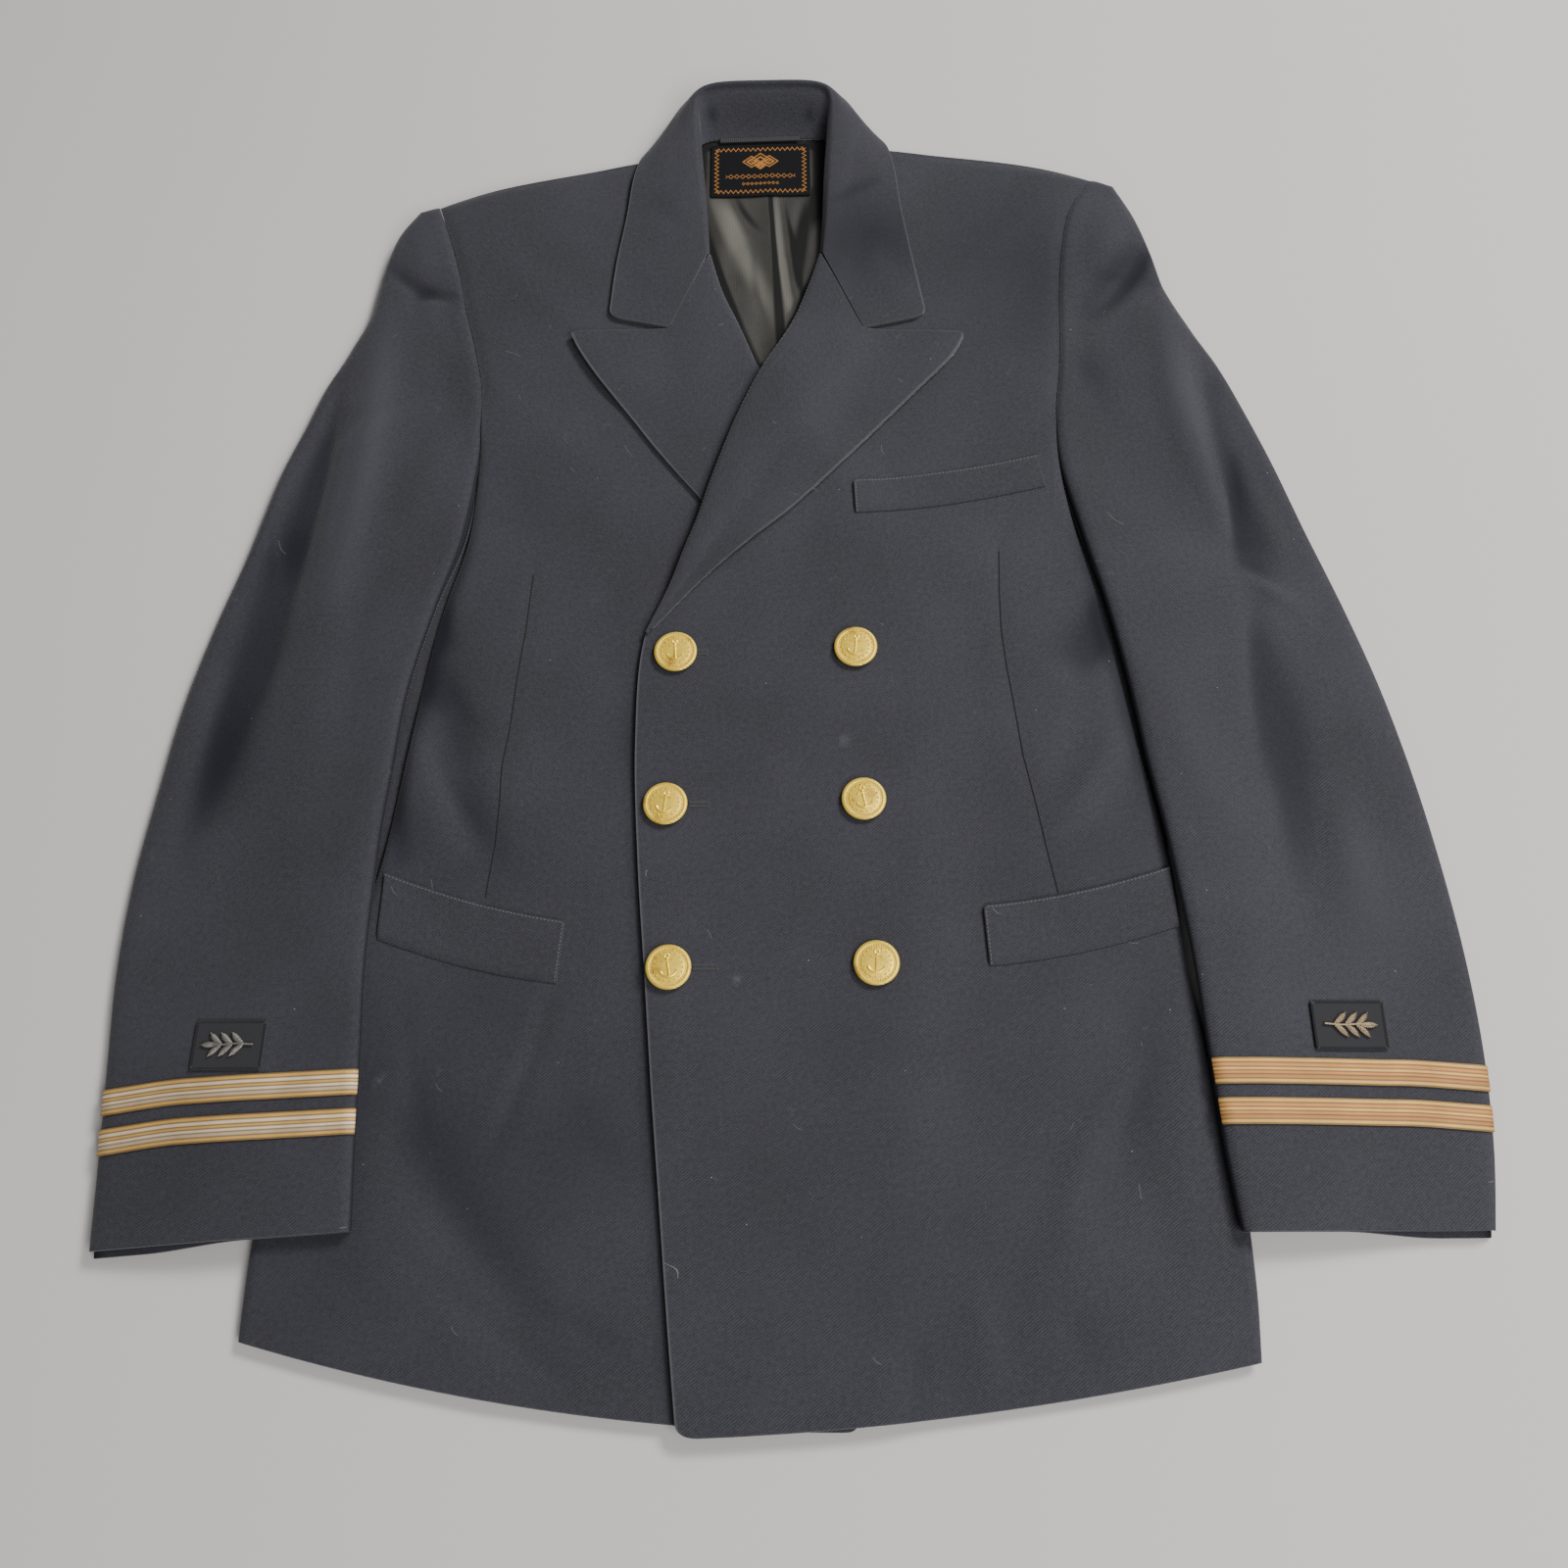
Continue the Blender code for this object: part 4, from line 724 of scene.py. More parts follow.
def spaced(length, step, fine_start=0.0, fine_end=0.0):
    """Shares from 0 to 1 about a step apart, closer together over rolled or turned ends."""
    start = list(over_turn(fine_start, length)) if fine_start else [0.0]
    end = list(1.0 - over_turn(fine_end, length)[::-1]) if fine_end else [1.0]
    count = max(2, int((end[0] - start[-1]) * length / step))
    inside = np.linspace(start[-1], end[0], count + 1)[1:-1]
    return np.array(start + list(inside) + end)


def stations(table, pitch, step):
    """Fractional rows about a step apart, for a table whose rows are a pitch apart."""
    last = len(table) - 1
    return np.linspace(0.0, last, int(last * pitch / step) + 1)


def mesh_of(points, flip):
    """An open sheet through a grid of points, with its UV map in metres along the cloth."""
    rows, columns = points.shape[:2]
    number = np.arange(rows * columns).reshape(rows, columns)
    quads = np.stack([number[:-1, :-1], number[:-1, 1:], number[1:, 1:], number[1:, :-1]], axis=-1)
    quads = quads.reshape(-1, 4)
    if flip:
        quads = quads[:, ::-1]
    mesh = bpy.data.meshes.new("Sheet")
    mesh.from_pydata(((points - MIDDLE) * MM).reshape(-1, 3).tolist(), [], quads.tolist())
    across = np.linalg.norm(np.diff(points, axis=1), axis=-1) * MM
    across = np.concatenate([np.zeros((rows, 1)), np.cumsum(across, axis=1)], axis=1)
    across = (across - across[:, -1:] / 2.0) * np.copysign(1.0, points[0, -1, 0] - points[0, 0, 0])
    along = np.linalg.norm(np.diff(points, axis=0), axis=-1) * MM
    along = np.concatenate([np.zeros((1, columns)), np.cumsum(along, axis=0)], axis=0)
    along = along * np.copysign(1.0, points[-1, 0, 1] - points[0, 0, 1])
    places = np.stack([across, along], axis=-1).reshape(-1, 2)
    corner = np.zeros(len(mesh.loops), np.int32)
    mesh.loops.foreach_get("vertex_index", corner)
    mesh.uv_layers.new(name="Cloth").data.foreach_set("uv", places[corner].ravel())
    mesh.shade_smooth()
    return mesh


def sheet_piece(node, points, thickness, finish, flip, marks=None, inside=None, turned=0.7):
    """A sheet of cloth with its thickness and soft edges, laid flat, for one node of the frame."""
    mesh = mesh_of(points, flip)
    mesh.name = "Cut_" + node
    for name, values in (marks or {}).items():
        layer = mesh.attributes.new(name, "FLOAT", "POINT")
        layer.data.foreach_set("value", np.broadcast_to(values, points.shape[:2]).ravel())
    mesh.materials.append(finish)
    piece = bpy.data.objects.new("Sewn_" + node, mesh)
    bpy.context.scene.collection.objects.link(piece)
    wall = piece.modifiers.new("Thickness", "SOLIDIFY")
    wall.thickness = thickness * MM
    wall.offset = -1.0
    wall.use_even_offset = True
    wall.use_quality_normals = True
    if inside:
        mesh.materials.append(inside)
        wall.material_offset = 1
    edge = piece.modifiers.new("Turned edge", "BEVEL")
    edge.width = turned * MM
    edge.segments = 3
    edge.limit_method = "ANGLE"
    edge.angle_limit = math.radians(55)
    stand_for(piece, node)


def stand_for(piece, node):
    """A finished piece rides on the jacket and replaces its node."""
    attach(piece, "root")
    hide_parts(node)


class Finish:
    """A material in the making: its nodes and its main shader."""

    def __init__(self, name, roughness, metallic=0.0, sheen=0.0, sheen_roughness=0.5, specular=0.5):
        self.made = bpy.data.materials.new(name)
        self.made.use_nodes = True
        self.nodes = self.made.node_tree.nodes
        self.links = self.made.node_tree.links
        self.shader = self.nodes["Principled BSDF"]
        self.shader.inputs["Roughness"].default_value = roughness
        self.shader.inputs["Metallic"].default_value = metallic
        self.shader.inputs["Sheen Weight"].default_value = sheen
        self.shader.inputs["Sheen Roughness"].default_value = sheen_roughness
        self.shader.inputs["Specular IOR Level"].default_value = specular

    def feed(self, socket, value):
        if isinstance(value, bpy.types.NodeSocket):
            self.links.new(value, socket)
        else:
            socket.default_value = value

    def node(self, kind, inputs=(), output=0, **settings):
        made = self.nodes.new(kind)
        for name, value in settings.items():
            setattr(made, name, value)
        for name, value in dict(inputs).items():
            self.feed(made.inputs[name], value)
        return made.outputs[output]

    def maths(self, operation, *values):
        return self.node("ShaderNodeMath", dict(enumerate(values)), operation=operation)

    def add(self, a, b):
        return self.maths("ADD", a, b)

    def times(self, a, b):
        return self.maths("MULTIPLY", a, b)

    def off(self, value, centre):
        """Distance of a value from a centre."""
        return self.maths("ABSOLUTE", self.maths("SUBTRACT", value, centre))

    def near(self, distance, inner, outer):
        """1 up to the inner distance, and softly 0 by the outer one."""
        return self.node("ShaderNodeMapRange", {"Value": distance, "From Min": inner, "From Max": outer,
                                                "To Min": 1.0, "To Max": 0.0},
                         interpolation_type="SMOOTHSTEP")

    def far(self, distance, inner, outer):
        """0 up to the inner distance, and softly 1 by the outer one."""
        return self.maths("SUBTRACT", 1.0, self.near(distance, inner, outer))

    def swing(self, value, amount):
        """How far a noise is from its middle, times an amount."""
        return self.times(self.maths("SUBTRACT", value, 0.5), amount)

    def ribs(self, value, pitch):
        """A wave between -1 and 1 that repeats at a pitch."""
        return self.maths("SINE", self.times(value, 2.0 * math.pi / pitch))

    def uv(self):
        """The cloth's own two coordinates, in metres."""
        place = self.node("ShaderNodeUVMap", uv_map="Cloth")
        split = self.nodes.new("ShaderNodeSeparateXYZ")
        self.links.new(place, split.inputs[0])
        return place, split.outputs[0], split.outputs[1]

    def spot(self):
        """The place in the jacket's own frame, in metres."""
        return self.node("ShaderNodeTexCoord", output=3)

    def where(self):
        """The place's three coordinates."""
        split = self.nodes.new("ShaderNodeSeparateXYZ")
        self.links.new(self.spot(), split.inputs[0])
        return split.outputs[0], split.outputs[1], split.outputs[2]

    def mark(self, name):
        """A value that the mesh carries at its points."""
        return self.node("ShaderNodeAttribute", output=2, attribute_name=name,
                         attribute_type="GEOMETRY")

    def noise(self, place, scale, detail=2.0, roughness=0.5):
        return self.node("ShaderNodeTexNoise", {"Vector": place, "Scale": scale, "Detail": detail,
                                                "Roughness": roughness})

    def mix(self, share, a, b):
        made = self.nodes.new("ShaderNodeMix")
        made.data_type = "RGBA"
        made.clamp_factor = True
        self.feed(made.inputs["Factor"], share)
        self.feed(made.inputs[6], a)
        self.feed(made.inputs[7], b)
        return made.outputs[2]

    def tones(self, share, colour, dark, light):
        """A mix of a darker and a lighter tone of one colour."""
        return self.mix(share, rgba(colour, dark), rgba(colour, light))

    def colour(self, value):
        self.feed(self.shader.inputs["Base Color"], value)

    def relief(self, height, strength=1.0):
        """Bump from a height in millimetres."""
        bump = self.node("ShaderNodeBump", {"Height": height, "Distance": MM, "Strength": strength})
        self.links.new(bump, self.shader.inputs["Normal"])


def rgba(colour, factor=1.0):
    """A colour made darker or lighter, with its alpha."""
    return (colour[0] * factor, colour[1] * factor, colour[2] * factor, 1.0)


def wool_finish(name, sizes):
    """Navy wool twill: painted lighter on its ridges and darker in its folds and hollows as light and
    shade, its turned edges painted lighter as wear and as a highlight, with lint, dart seams and
    stitching.
    """
    wool = Finish(name, 0.78, sheen=0.22, sheen_roughness=0.4, specular=0.3)
    place, _, _ = wool.uv()
    x, y, z = wool.where()
    slant = wool.maths("SUBTRACT", wool.times(wool.add(y, z), math.cos(TWILL_SLANT)),
                       wool.times(x, math.sin(TWILL_SLANT)))
    wander = wool.noise(place, 160.0, 1.0)
    cycle = wool.add(wool.times(slant, 2.0 * math.pi / sizes.twill_pitch), wool.times(wander, 2.2))
    twill = wool.maths("SINE", cycle)
    yarn = wool.noise(place, 1500.0, 2.0, 0.7)
    cloud = wool.noise(place, 13.0, 3.0, 0.55)
    slub = wool.noise(place, 420.0, 2.0, 0.6)
    shade = wool.add(wool.times(twill, 0.3), wool.swing(yarn, 3.2))
    shade = wool.add(wool.add(shade, wool.swing(slub, 1.3)), wool.swing(cloud, 0.9))
    tone = wool.tones(wool.add(shade, 0.5), sizes.wool_colour, 0.62, 1.5)
    # Painted shade: the lower this mark, the darker the wool, down to DEEP_SHADE in troughs, hollows
    # and gaps. Painted light: where the mark is high, the wool is lighter.
    lie = wool.mark("lie")
    tone = wool.mix(wool.times(wool.near(lie, DARKEST, 0.0), 0.9), tone, DEEP_SHADE)
    tone = wool.mix(wool.times(wool.far(lie, 0.3, 4.5), 0.5), tone, rgba(sizes.wool_colour, 1.9))
    tone = wool_lint(wool, place, tone)
    # Free edges painted lighter in the stitching's colour: partly edge wear, partly a painted highlight
    rim = wool.near(wool.off(wool.mark("rim"), 100.0), 0.1, 1.3)
    tone = wool.mix(wool.times(rim, 0.4), tone, rgba(sizes.stitch_colour, 0.8))
    seam_and_pleat_shade = wool.times(wool.near(wool.off(wool.mark("seam_and_pleat_shade"), 100.0), 0.12, 0.62),
                      wool.near(wool.mark("past"), 0.0, 1.0))
    tone = wool.mix(wool.times(seam_and_pleat_shade, 0.85), tone, rgba(sizes.wool_colour, 0.1))
    dash = wool.maths("LESS_THAN", wool.maths("FRACT", wool.times(wool.mark("run"), 0.5)), 0.6)
    stitch = wool.times(wool.near(wool.off(wool.mark("edge"), 101.1), 0.18, 0.34), dash)
    tone = wool.mix(wool.times(stitch, 0.5), tone, rgba(sizes.stitch_colour))
    wool.colour(tone)
    high = wool.add(wool.times(twill, 0.06), wool.times(yarn, 0.18))
    high = wool.add(high, wool.times(seam_and_pleat_shade, -0.35))
    wool.relief(wool.add(high, wool.times(stitch, 0.12)))
    return wool.made


def wool_lint(wool, place, tone):
    """Specks, short hairs, a little dust and a few chalky rubs on top of the wool."""
    dust = wool.noise(place, 60.0, 4.0, 0.75)
    tone = wool.mix(wool.times(wool.far(dust, 0.64, 0.74), 0.09), tone, DUST)
    spot = wool.spot()
    for x, y, reach in SMUDGES:
        centre = ((x - MIDDLE[0]) * MM, (y - MIDDLE[1]) * MM, 0.008)
        apart = wool.node("ShaderNodeVectorMath", {0: spot, 1: centre}, output=1, operation="DISTANCE")
        share = wool.times(wool.near(apart, 0.0, reach * MM), wool.near(dust, 0.7, 0.4))
        tone = wool.mix(wool.times(share, 0.3), tone, CHALK)
    cell = wool.nodes.new("ShaderNodeTexVoronoi")
    wool.links.new(place, cell.inputs["Vector"])
    cell.inputs["Scale"].default_value = 95.0
    speck = wool.times(wool.near(cell.outputs["Distance"], 0.015, 0.04),
                       wool.maths("GREATER_THAN", cell.outputs["Color"], 0.62))
    line = wool.near(wool.off(wool.noise(place, 34.0, 0.0), 0.5), 0.0008, 0.0022)
    short = wool.far(wool.noise(place, 62.0, 0.0), 0.755, 0.775)
    fluff = wool.maths("MAXIMUM", wool.times(speck, 0.5), wool.times(wool.times(line, short), 0.3))
    return wool.mix(fluff, tone, LINT)


def lining_finish(name, sizes):
    """Dark grey-brown satin, painted with highlights along its folds and with shade in its dark folds,
    under the collar and lapels and along the pleat.
    """
    satin = Finish(name, 0.44, specular=0.42)
    place, u, _ = satin.uv()
    thread = satin.ribs(u, WIRE_PITCH)
    cloud = satin.noise(place, 26.0, 3.0)
    streak = satin.noise(place, 420.0, 2.0)
    shade = satin.add(satin.swing(cloud, 1.4), satin.times(streak, 0.3))
    tone = satin.tones(satin.add(shade, 0.35), sizes.lining_colour, 0.6, 1.5)
    # Painted shade in dark folds, under the collar and lapels and along the pleat, and painted
    # highlights along the folds
    dark = satin.maths("MAXIMUM", satin.near(satin.mark("lie"), -2.2, -0.1),
                       satin.near(satin.off(satin.mark("seam_and_pleat_shade"), 100.0), 0.6, 1.5))
    painted_highlight = satin.far(satin.mark("lie"), 0.1, 2.0)
    tone = satin.mix(satin.times(painted_highlight, 0.9), tone, rgba(sizes.lining_colour, 3.4))
    satin.colour(satin.mix(satin.times(dark, 0.95), tone, rgba(sizes.lining_colour, 0.04)))
    satin.feed(satin.shader.inputs["Roughness"], satin.add(satin.times(dark, 0.5), 0.46))
    satin.relief(satin.add(satin.times(thread, 0.012), satin.times(streak, 0.05)))
    return satin.made


def dark_lining_finish(name, sizes):
    """Satin inside the sleeves and the body, painted near black as shade where no light reaches."""
    satin = Finish(name, 0.8, specular=0.12)
    place, _, _ = satin.uv()
    satin.colour(satin.tones(satin.noise(place, 30.0, 3.0), sizes.lining_colour, 0.06, 0.16))
    satin.relief(satin.times(satin.noise(place, 420.0, 2.0), 0.05))
    return satin.made


def patch_finish(name, sizes):
    """Black cloth with a corded edge, for the cuff patches."""
    black = Finish(name, 0.9, sheen=0.25, specular=0.2)
    place, _, _ = black.uv()
    edge, run = black.mark("edge"), black.mark("run")
    border = black.near(edge, 101.3, 101.7)
    cord = black.times(black.ribs(run, 0.75), border)
    fuzz = black.noise(place, 1300.0, 2.0)
    tone = black.tones(fuzz, sizes.patch_colour, 1.6, 2.8)
    black.colour(black.mix(black.times(border, black.add(black.times(cord, 0.35), 0.65)), tone,
                           rgba(sizes.patch_colour, 0.4)))
    high = black.add(black.times(fuzz, 0.14), black.times(border, 0.2))
    black.relief(black.add(high, black.times(cord, 0.07)))
    return black.made


def tape_finish(name, sizes):
    """Ribbed black tape for the hanger loop."""
    tape = Finish(name, 0.7, sheen=0.2)
    rib = tape.ribs(tape.uv()[1], 0.0012)
    tape.colour(tape.tones(tape.add(tape.times(rib, 0.5), 0.5), sizes.patch_colour, 0.7, 1.5))
    tape.relief(tape.times(rib, 0.06))
    return tape.made


def thread_finish(name, colour):
    """Twisted sewing thread."""
    thread = Finish(name, 0.75, sheen=0.3)
    fuzz = thread.noise(thread.spot(), 2600.0, 2.0)
    thread.colour(thread.tones(fuzz, colour, 0.6, 1.5))
    thread.relief(thread.times(fuzz, 0.1))
    return thread.made


def brass_finish(name, colour, roughness, ribs=0.0):
    """Gilt brass, lightly tarnished in patches, with fine level ribs where it is a field."""
    brass = Finish(name, roughness, metallic=0.45)
    place = brass.spot()
    cloud = brass.noise(place, 130.0, 3.0)
    grain = brass.noise(place, 1600.0, 2.0)
    tone = brass.tones(cloud, colour, 0.75, 1.1)
    brass.colour(brass.mix(brass.times(brass.near(cloud, 0.32, 0.4), 0.5), tone, TARNISH))
    brass.feed(brass.shader.inputs["Roughness"], brass.add(brass.times(cloud, 0.2), roughness - 0.1))
    rib = brass.ribs(brass.where()[1], BUTTON_RIB)
    brass.relief(brass.add(brass.times(grain, 0.03), brass.times(rib, ribs)))
    return brass.made


def lace_finish(name, colour, middle):
    """Woven wire lace: gold beaded borders round a paler middle with fine dark lines."""
    lace = Finish(name, 0.45, metallic=0.4)
    place, u, _ = lace.uv()
    across = lace.mark("band")
    line = lace.mark("line")
    weave = lace.times(lace.ribs(u, WIRE_PITCH), lace.ribs(across, 0.55))
    tarnish = lace.noise(place, 60.0, 3.0)
    grain = lace.noise(place, 2200.0, 2.0)
    shade = lace.add(lace.times(weave, 0.25), lace.times(lace.add(tarnish, grain), 0.55))
    gold = lace.tones(shade, colour, 0.3, 1.4)
    pale = lace.tones(shade, middle, 0.35, 1.4)
    rosy = lace.mix(shade, rgba(colour, 0.3), rgba(middle, 1.0))
    inside = lace.near(lace.off(across, 0.5 * LACE_WIDTH), 3.7, 4.0)
    tone = lace.mix(inside, gold, pale)
    tone = lace.mix(lace.near(lace.off(across, 9.1), 0.8, 1.1), tone, rosy)
    tone = lace.mix(lace.near(lace.off(across, 5.4), 0.7, 0.95), tone, gold)
    lace.colour(lace.mix(lace.times(line, 0.9), tone, LACE_DARK))
    lace.relief(lace.add(lace.times(weave, 0.06), lace.times(grain, 0.05)))
    return lace.made


def bullion_finish(name, colour):
    """Coiled bullion wire, dulled with age."""
    wire = Finish(name, 0.42, metallic=0.7)
    place = wire.spot()
    grain = wire.noise(place, 1900.0, 2.0)
    cloud = wire.noise(place, 240.0, 2.0)
    wire.colour(wire.tones(wire.times(wire.add(cloud, grain), 0.5), colour, 0.35, 1.5))
    wire.relief(wire.times(grain, 0.12))
    return wire.made


def label_finish(name, sizes):
    """Black woven label: a zigzag border, and a small ornament of stacked diamonds."""
    label = Finish(name, 0.85, specular=0.12)
    place, u, v = label.uv()
    x = label.times(u, 1000.0)
    y = label.maths("SUBTRACT", label.times(v, 1000.0), 0.5 * LABEL.height)
    half_x, half_y = 0.5 * LABEL.width - LABEL_MARGIN, 0.5 * LABEL.height - LABEL_MARGIN
    gold = None
    for along, across, reach, end in ((x, y, half_y, half_x), (y, x, half_x, half_y)):
        zig = label.times(label.maths("PINGPONG", along, 1.5), 1.6)
        path = label.off(label.off(across, 0.0), label.add(zig, reach - 1.2))
        line = label.times(label.near(path, 0.3, 0.55),
                           label.near(label.off(along, 0.0), end, end + 0.9))
        gold = line if gold is None else label.maths("MAXIMUM", gold, line)
    for centre_x, centre_y, size in LABEL_DIAMONDS:
        spread = label.add(label.times(label.off(x, centre_x), 0.8), label.off(y, centre_y))
        ring = label.near(label.off(spread, size), 0.3, 0.6)
        core = label.near(label.off(spread, 0.5 * size), 0.5, 0.8)
        gold = label.maths("MAXIMUM", gold, label.maths("MAXIMUM", ring, core))
    for centre_y, size, pitch, end in LABEL_ROWS:
        spread = label.add(label.maths("PINGPONG", x, 0.5 * pitch), label.off(y, centre_y))
        row = label.times(label.near(label.off(spread, size), 0.25, 0.45),
                          label.near(label.off(x, 0.0), end, end + 0.2))
        gold = label.maths("MAXIMUM", gold, label.times(row, 0.75))
    weft = label.ribs(y, 0.42)
    ground = label.tones(label.add(label.times(weft, 0.3), 0.5), sizes.patch_colour, 0.4, 1.1)
    thread = label.tones(label.noise(place, 900.0, 1.0), sizes.label_colour, 0.55, 1.25)
    label.colour(label.mix(gold, ground, thread))
    label.relief(label.add(label.times(weft, 0.03), label.times(gold, 0.16)))
    return label.made


def floor_finish(name, colour):
    """The plain floor, with hardly any cloud in it."""
    floor = Finish(name, 0.85, specular=0.2)
    floor.colour(floor.tones(floor.noise(floor.spot(), 3.0, 2.0), colour, 0.98, 1.02))
    return floor.made


def finish_named(name, maker, *arguments):
    """A finish is made once and shared by every piece that uses it."""
    return bpy.data.materials.get(name) or maker(name, *arguments)


def wool():
    return finish_named("Navy wool twill", wool_finish, bpy.context.scene.jacket_cloth)


def satin():
    return finish_named("Grey satin lining", lining_finish, bpy.context.scene.jacket_cloth)


# The satin inside the backs and sleeves, painted near black as shade
def dark_satin():
    return finish_named("Black satin lining", dark_lining_finish, bpy.context.scene.jacket_cloth)


def rim_mark(*distances):
    """How far the nearest free edge is: an edge painted lighter, partly as wear and partly as a painted
    highlight.
    """
    return 100.0 + np.minimum.reduce(np.broadcast_arrays(*distances))


def edge_marks(distances, runs):
    """The nearest of several turned edges: how far it is, and how far along it, in millimetres."""
    distances = np.stack(np.broadcast_arrays(*distances))
    runs = np.stack(np.broadcast_arrays(*runs))
    nearest = np.argmin(distances, axis=0)[None]
    return {"edge": 100.0 + np.take_along_axis(distances, nearest, 0)[0],
            "run": np.take_along_axis(runs, nearest, 0)[0]}


def length_size(name, description, default, low, high):
    """A length that the panel lists, in metres."""
    return FloatProperty(name=name, description=description, default=default, min=low, max=high,
                         unit="LENGTH")


def plain_size(name, description, default, low, high):
    """A plain number that the panel lists."""
    return FloatProperty(name=name, description=description, default=default, min=low, max=high)


def colour_size(name, description, default):
    """A colour that the panel lists."""
    return FloatVectorProperty(name=name, description=description, size=3, default=default,
                               subtype="COLOR", min=0.0, max=1.0)


class ClothSizes(bpy.types.PropertyGroup):
    """Cloth of the body, sleeves, collar and lining."""
    grid: length_size("Grid", "Spacing of the points that a panel is made from", 0.0029, 0.0015, 0.01)
    unevenness: length_size("Unevenness", "Height of the slight waves in the cloth",
                            0.00022, 0.0, 0.002)
    twill_pitch: length_size("Twill pitch", "Distance between the diagonal ribs", 0.0012, 0.0004, 0.004)
    wool_colour: colour_size("Wool", "Mean colour of the wool", (0.0305, 0.03, 0.0372))
    stitch_colour: colour_size("Stitching", "Colour of the edge stitching", (0.17, 0.17, 0.18))
    lining_colour: colour_size("Lining", "Mean colour of the satin", (0.036, 0.0345, 0.029))
    patch_colour: colour_size("Black", "Colour of patches, tape and label", (0.011, 0.011, 0.0125))
    label_colour: colour_size("Label thread", "Colour of the label's figures", (0.46, 0.2, 0.05))


class TrimSizes(bpy.types.PropertyGroup):
    """Buttons, lace, embroidery and thread."""
    button_diameter: length_size("Button", "Diameter of the buttons", 0.0229, 0.015, 0.03)
    rope_beads: IntProperty(name="Rim beads", description="Turns of the rope on a button's rim",
                            default=44, min=12, max=80)
    brass_colour: colour_size("Brass", "Colour of the buttons", (1.0, 0.7, 0.075))
    lace_colour: colour_size("Lace", "Colour of the cuff lace", (0.80, 0.47, 0.13))
    lace_middle: colour_size("Lace middle", "Colour of the lace's middle", (0.78, 0.61, 0.42))
    silver_colour: colour_size("Silver bullion", "Colour of the right sprig", (0.3, 0.285, 0.25))
    bronze_colour: colour_size("Bronze bullion", "Colour of the left sprig", (0.3, 0.225, 0.14))
    bead_pitch: length_size("Bead pitch", "Distance between the lace's border beads",
                            0.0016, 0.0008, 0.004)


class StageSizes(bpy.types.PropertyGroup):
    """Floor, light and camera."""
    floor_colour: colour_size("Floor", "Colour of the floor", (0.585, 0.57, 0.545))
    key_power: plain_size("Key light", "Power of the main soft light in watts", 84.0, 0.0, 500.0)
    fill_power: plain_size("Fill light", "Power of the filling light in watts", 46.0, 0.0, 500.0)
    focal_length: plain_size("Focal length", "Lens for a 36 mm wide sensor", 36.0, 10.0, 200.0)


class JACKET_OT_back(bpy.types.Operator):
    """Make the two back halves and the lining that shows in the neck"""
    bl_idname = "jacket.back"
    bl_label = "Back and lining"

    def execute(self, context):
        step = 2.0 * context.scene.jacket_cloth.grid / MM
        for side in SIDES:
            t = stations(BACKS[side], BACK_PITCH, step)[:, None]
            s = spaced(BACK_WIDE, step)[None]
            sheet_piece("back_" + side, back_surface(side, t, s), CLOTH, wool(), side == "right",
                        inside=dark_satin())
        t = stations(BACK_LINING, LINING_PITCH, 1.7)[:, None]
        s = spaced(LINING_WIDE, 1.4)[None]
        points = lining_surface(t, s)
        x, y = points[..., 0], points[..., 1]
        # The lining's marks paint a dark line along the pleat as its shade, highlights along its folds,
        # and shade under the collar and lapels.
        marks = {"seam_and_pleat_shade": 100.0 + from_pleat(x, y) / (1.5 + 1.7 * ramp(479.0 - y, 20.0, 110.0)),
                 "lie": fold_height(SATIN_PAINTED_LIGHT_AND_SHADE, x, y) - 2.0 * lining_shade(x, y)}
        sheet_piece("back_lining", points, LINING, satin(), False,
                    marks, turned=0.3)
        return {"FINISHED"}


class JACKET_OT_fronts(bpy.types.Operator):
    """Make the right front and the left front that closes over it"""
    bl_idname = "jacket.fronts"
    bl_label = "Fronts"

    def execute(self, context):
        step = context.scene.jacket_cloth.grid / MM
        for side, under in (("right", ["Sewn_back_right", "Sewn_back_left"]),
                            ("left", ["Sewn_front_right", "Sewn_back_left"])):
            t = stations(FRONTS[side], FRONT_PITCH, step)
            t = np.union1d(t, t[-1] - over_turn(SHOULDER_END))[:, None]
            s = spaced(FRONT_WIDE, step, 3.0, SIDE_ROLL)[None]
            points = front_surface(side, t, s)
            x, y = points[..., 0], points[..., 1]
            aside, past = from_dart(side, x, y)
            # Marks: dark dart seams; painted shade and light of the folds, the underarm and the covered
            # edges; free edges painted lighter, partly wear, partly a painted highlight.
            covered = 90.0 * ramp(t, BREAK_ROW, BREAK_ROW + 0.6)
            marks = {"seam_and_pleat_shade": 100.0 + aside, "past": past, "lie": front_painted_light_and_shade(side, x, y, t, s),
                     "rim": rim_mark(FRONT_WIDE * s + covered, FRONT_PITCH * t)}
            sheet_piece("front_" + side, points, CLOTH, wool(), side == "right", marks,
                        satin(), 0.9)
        return {"FINISHED"}


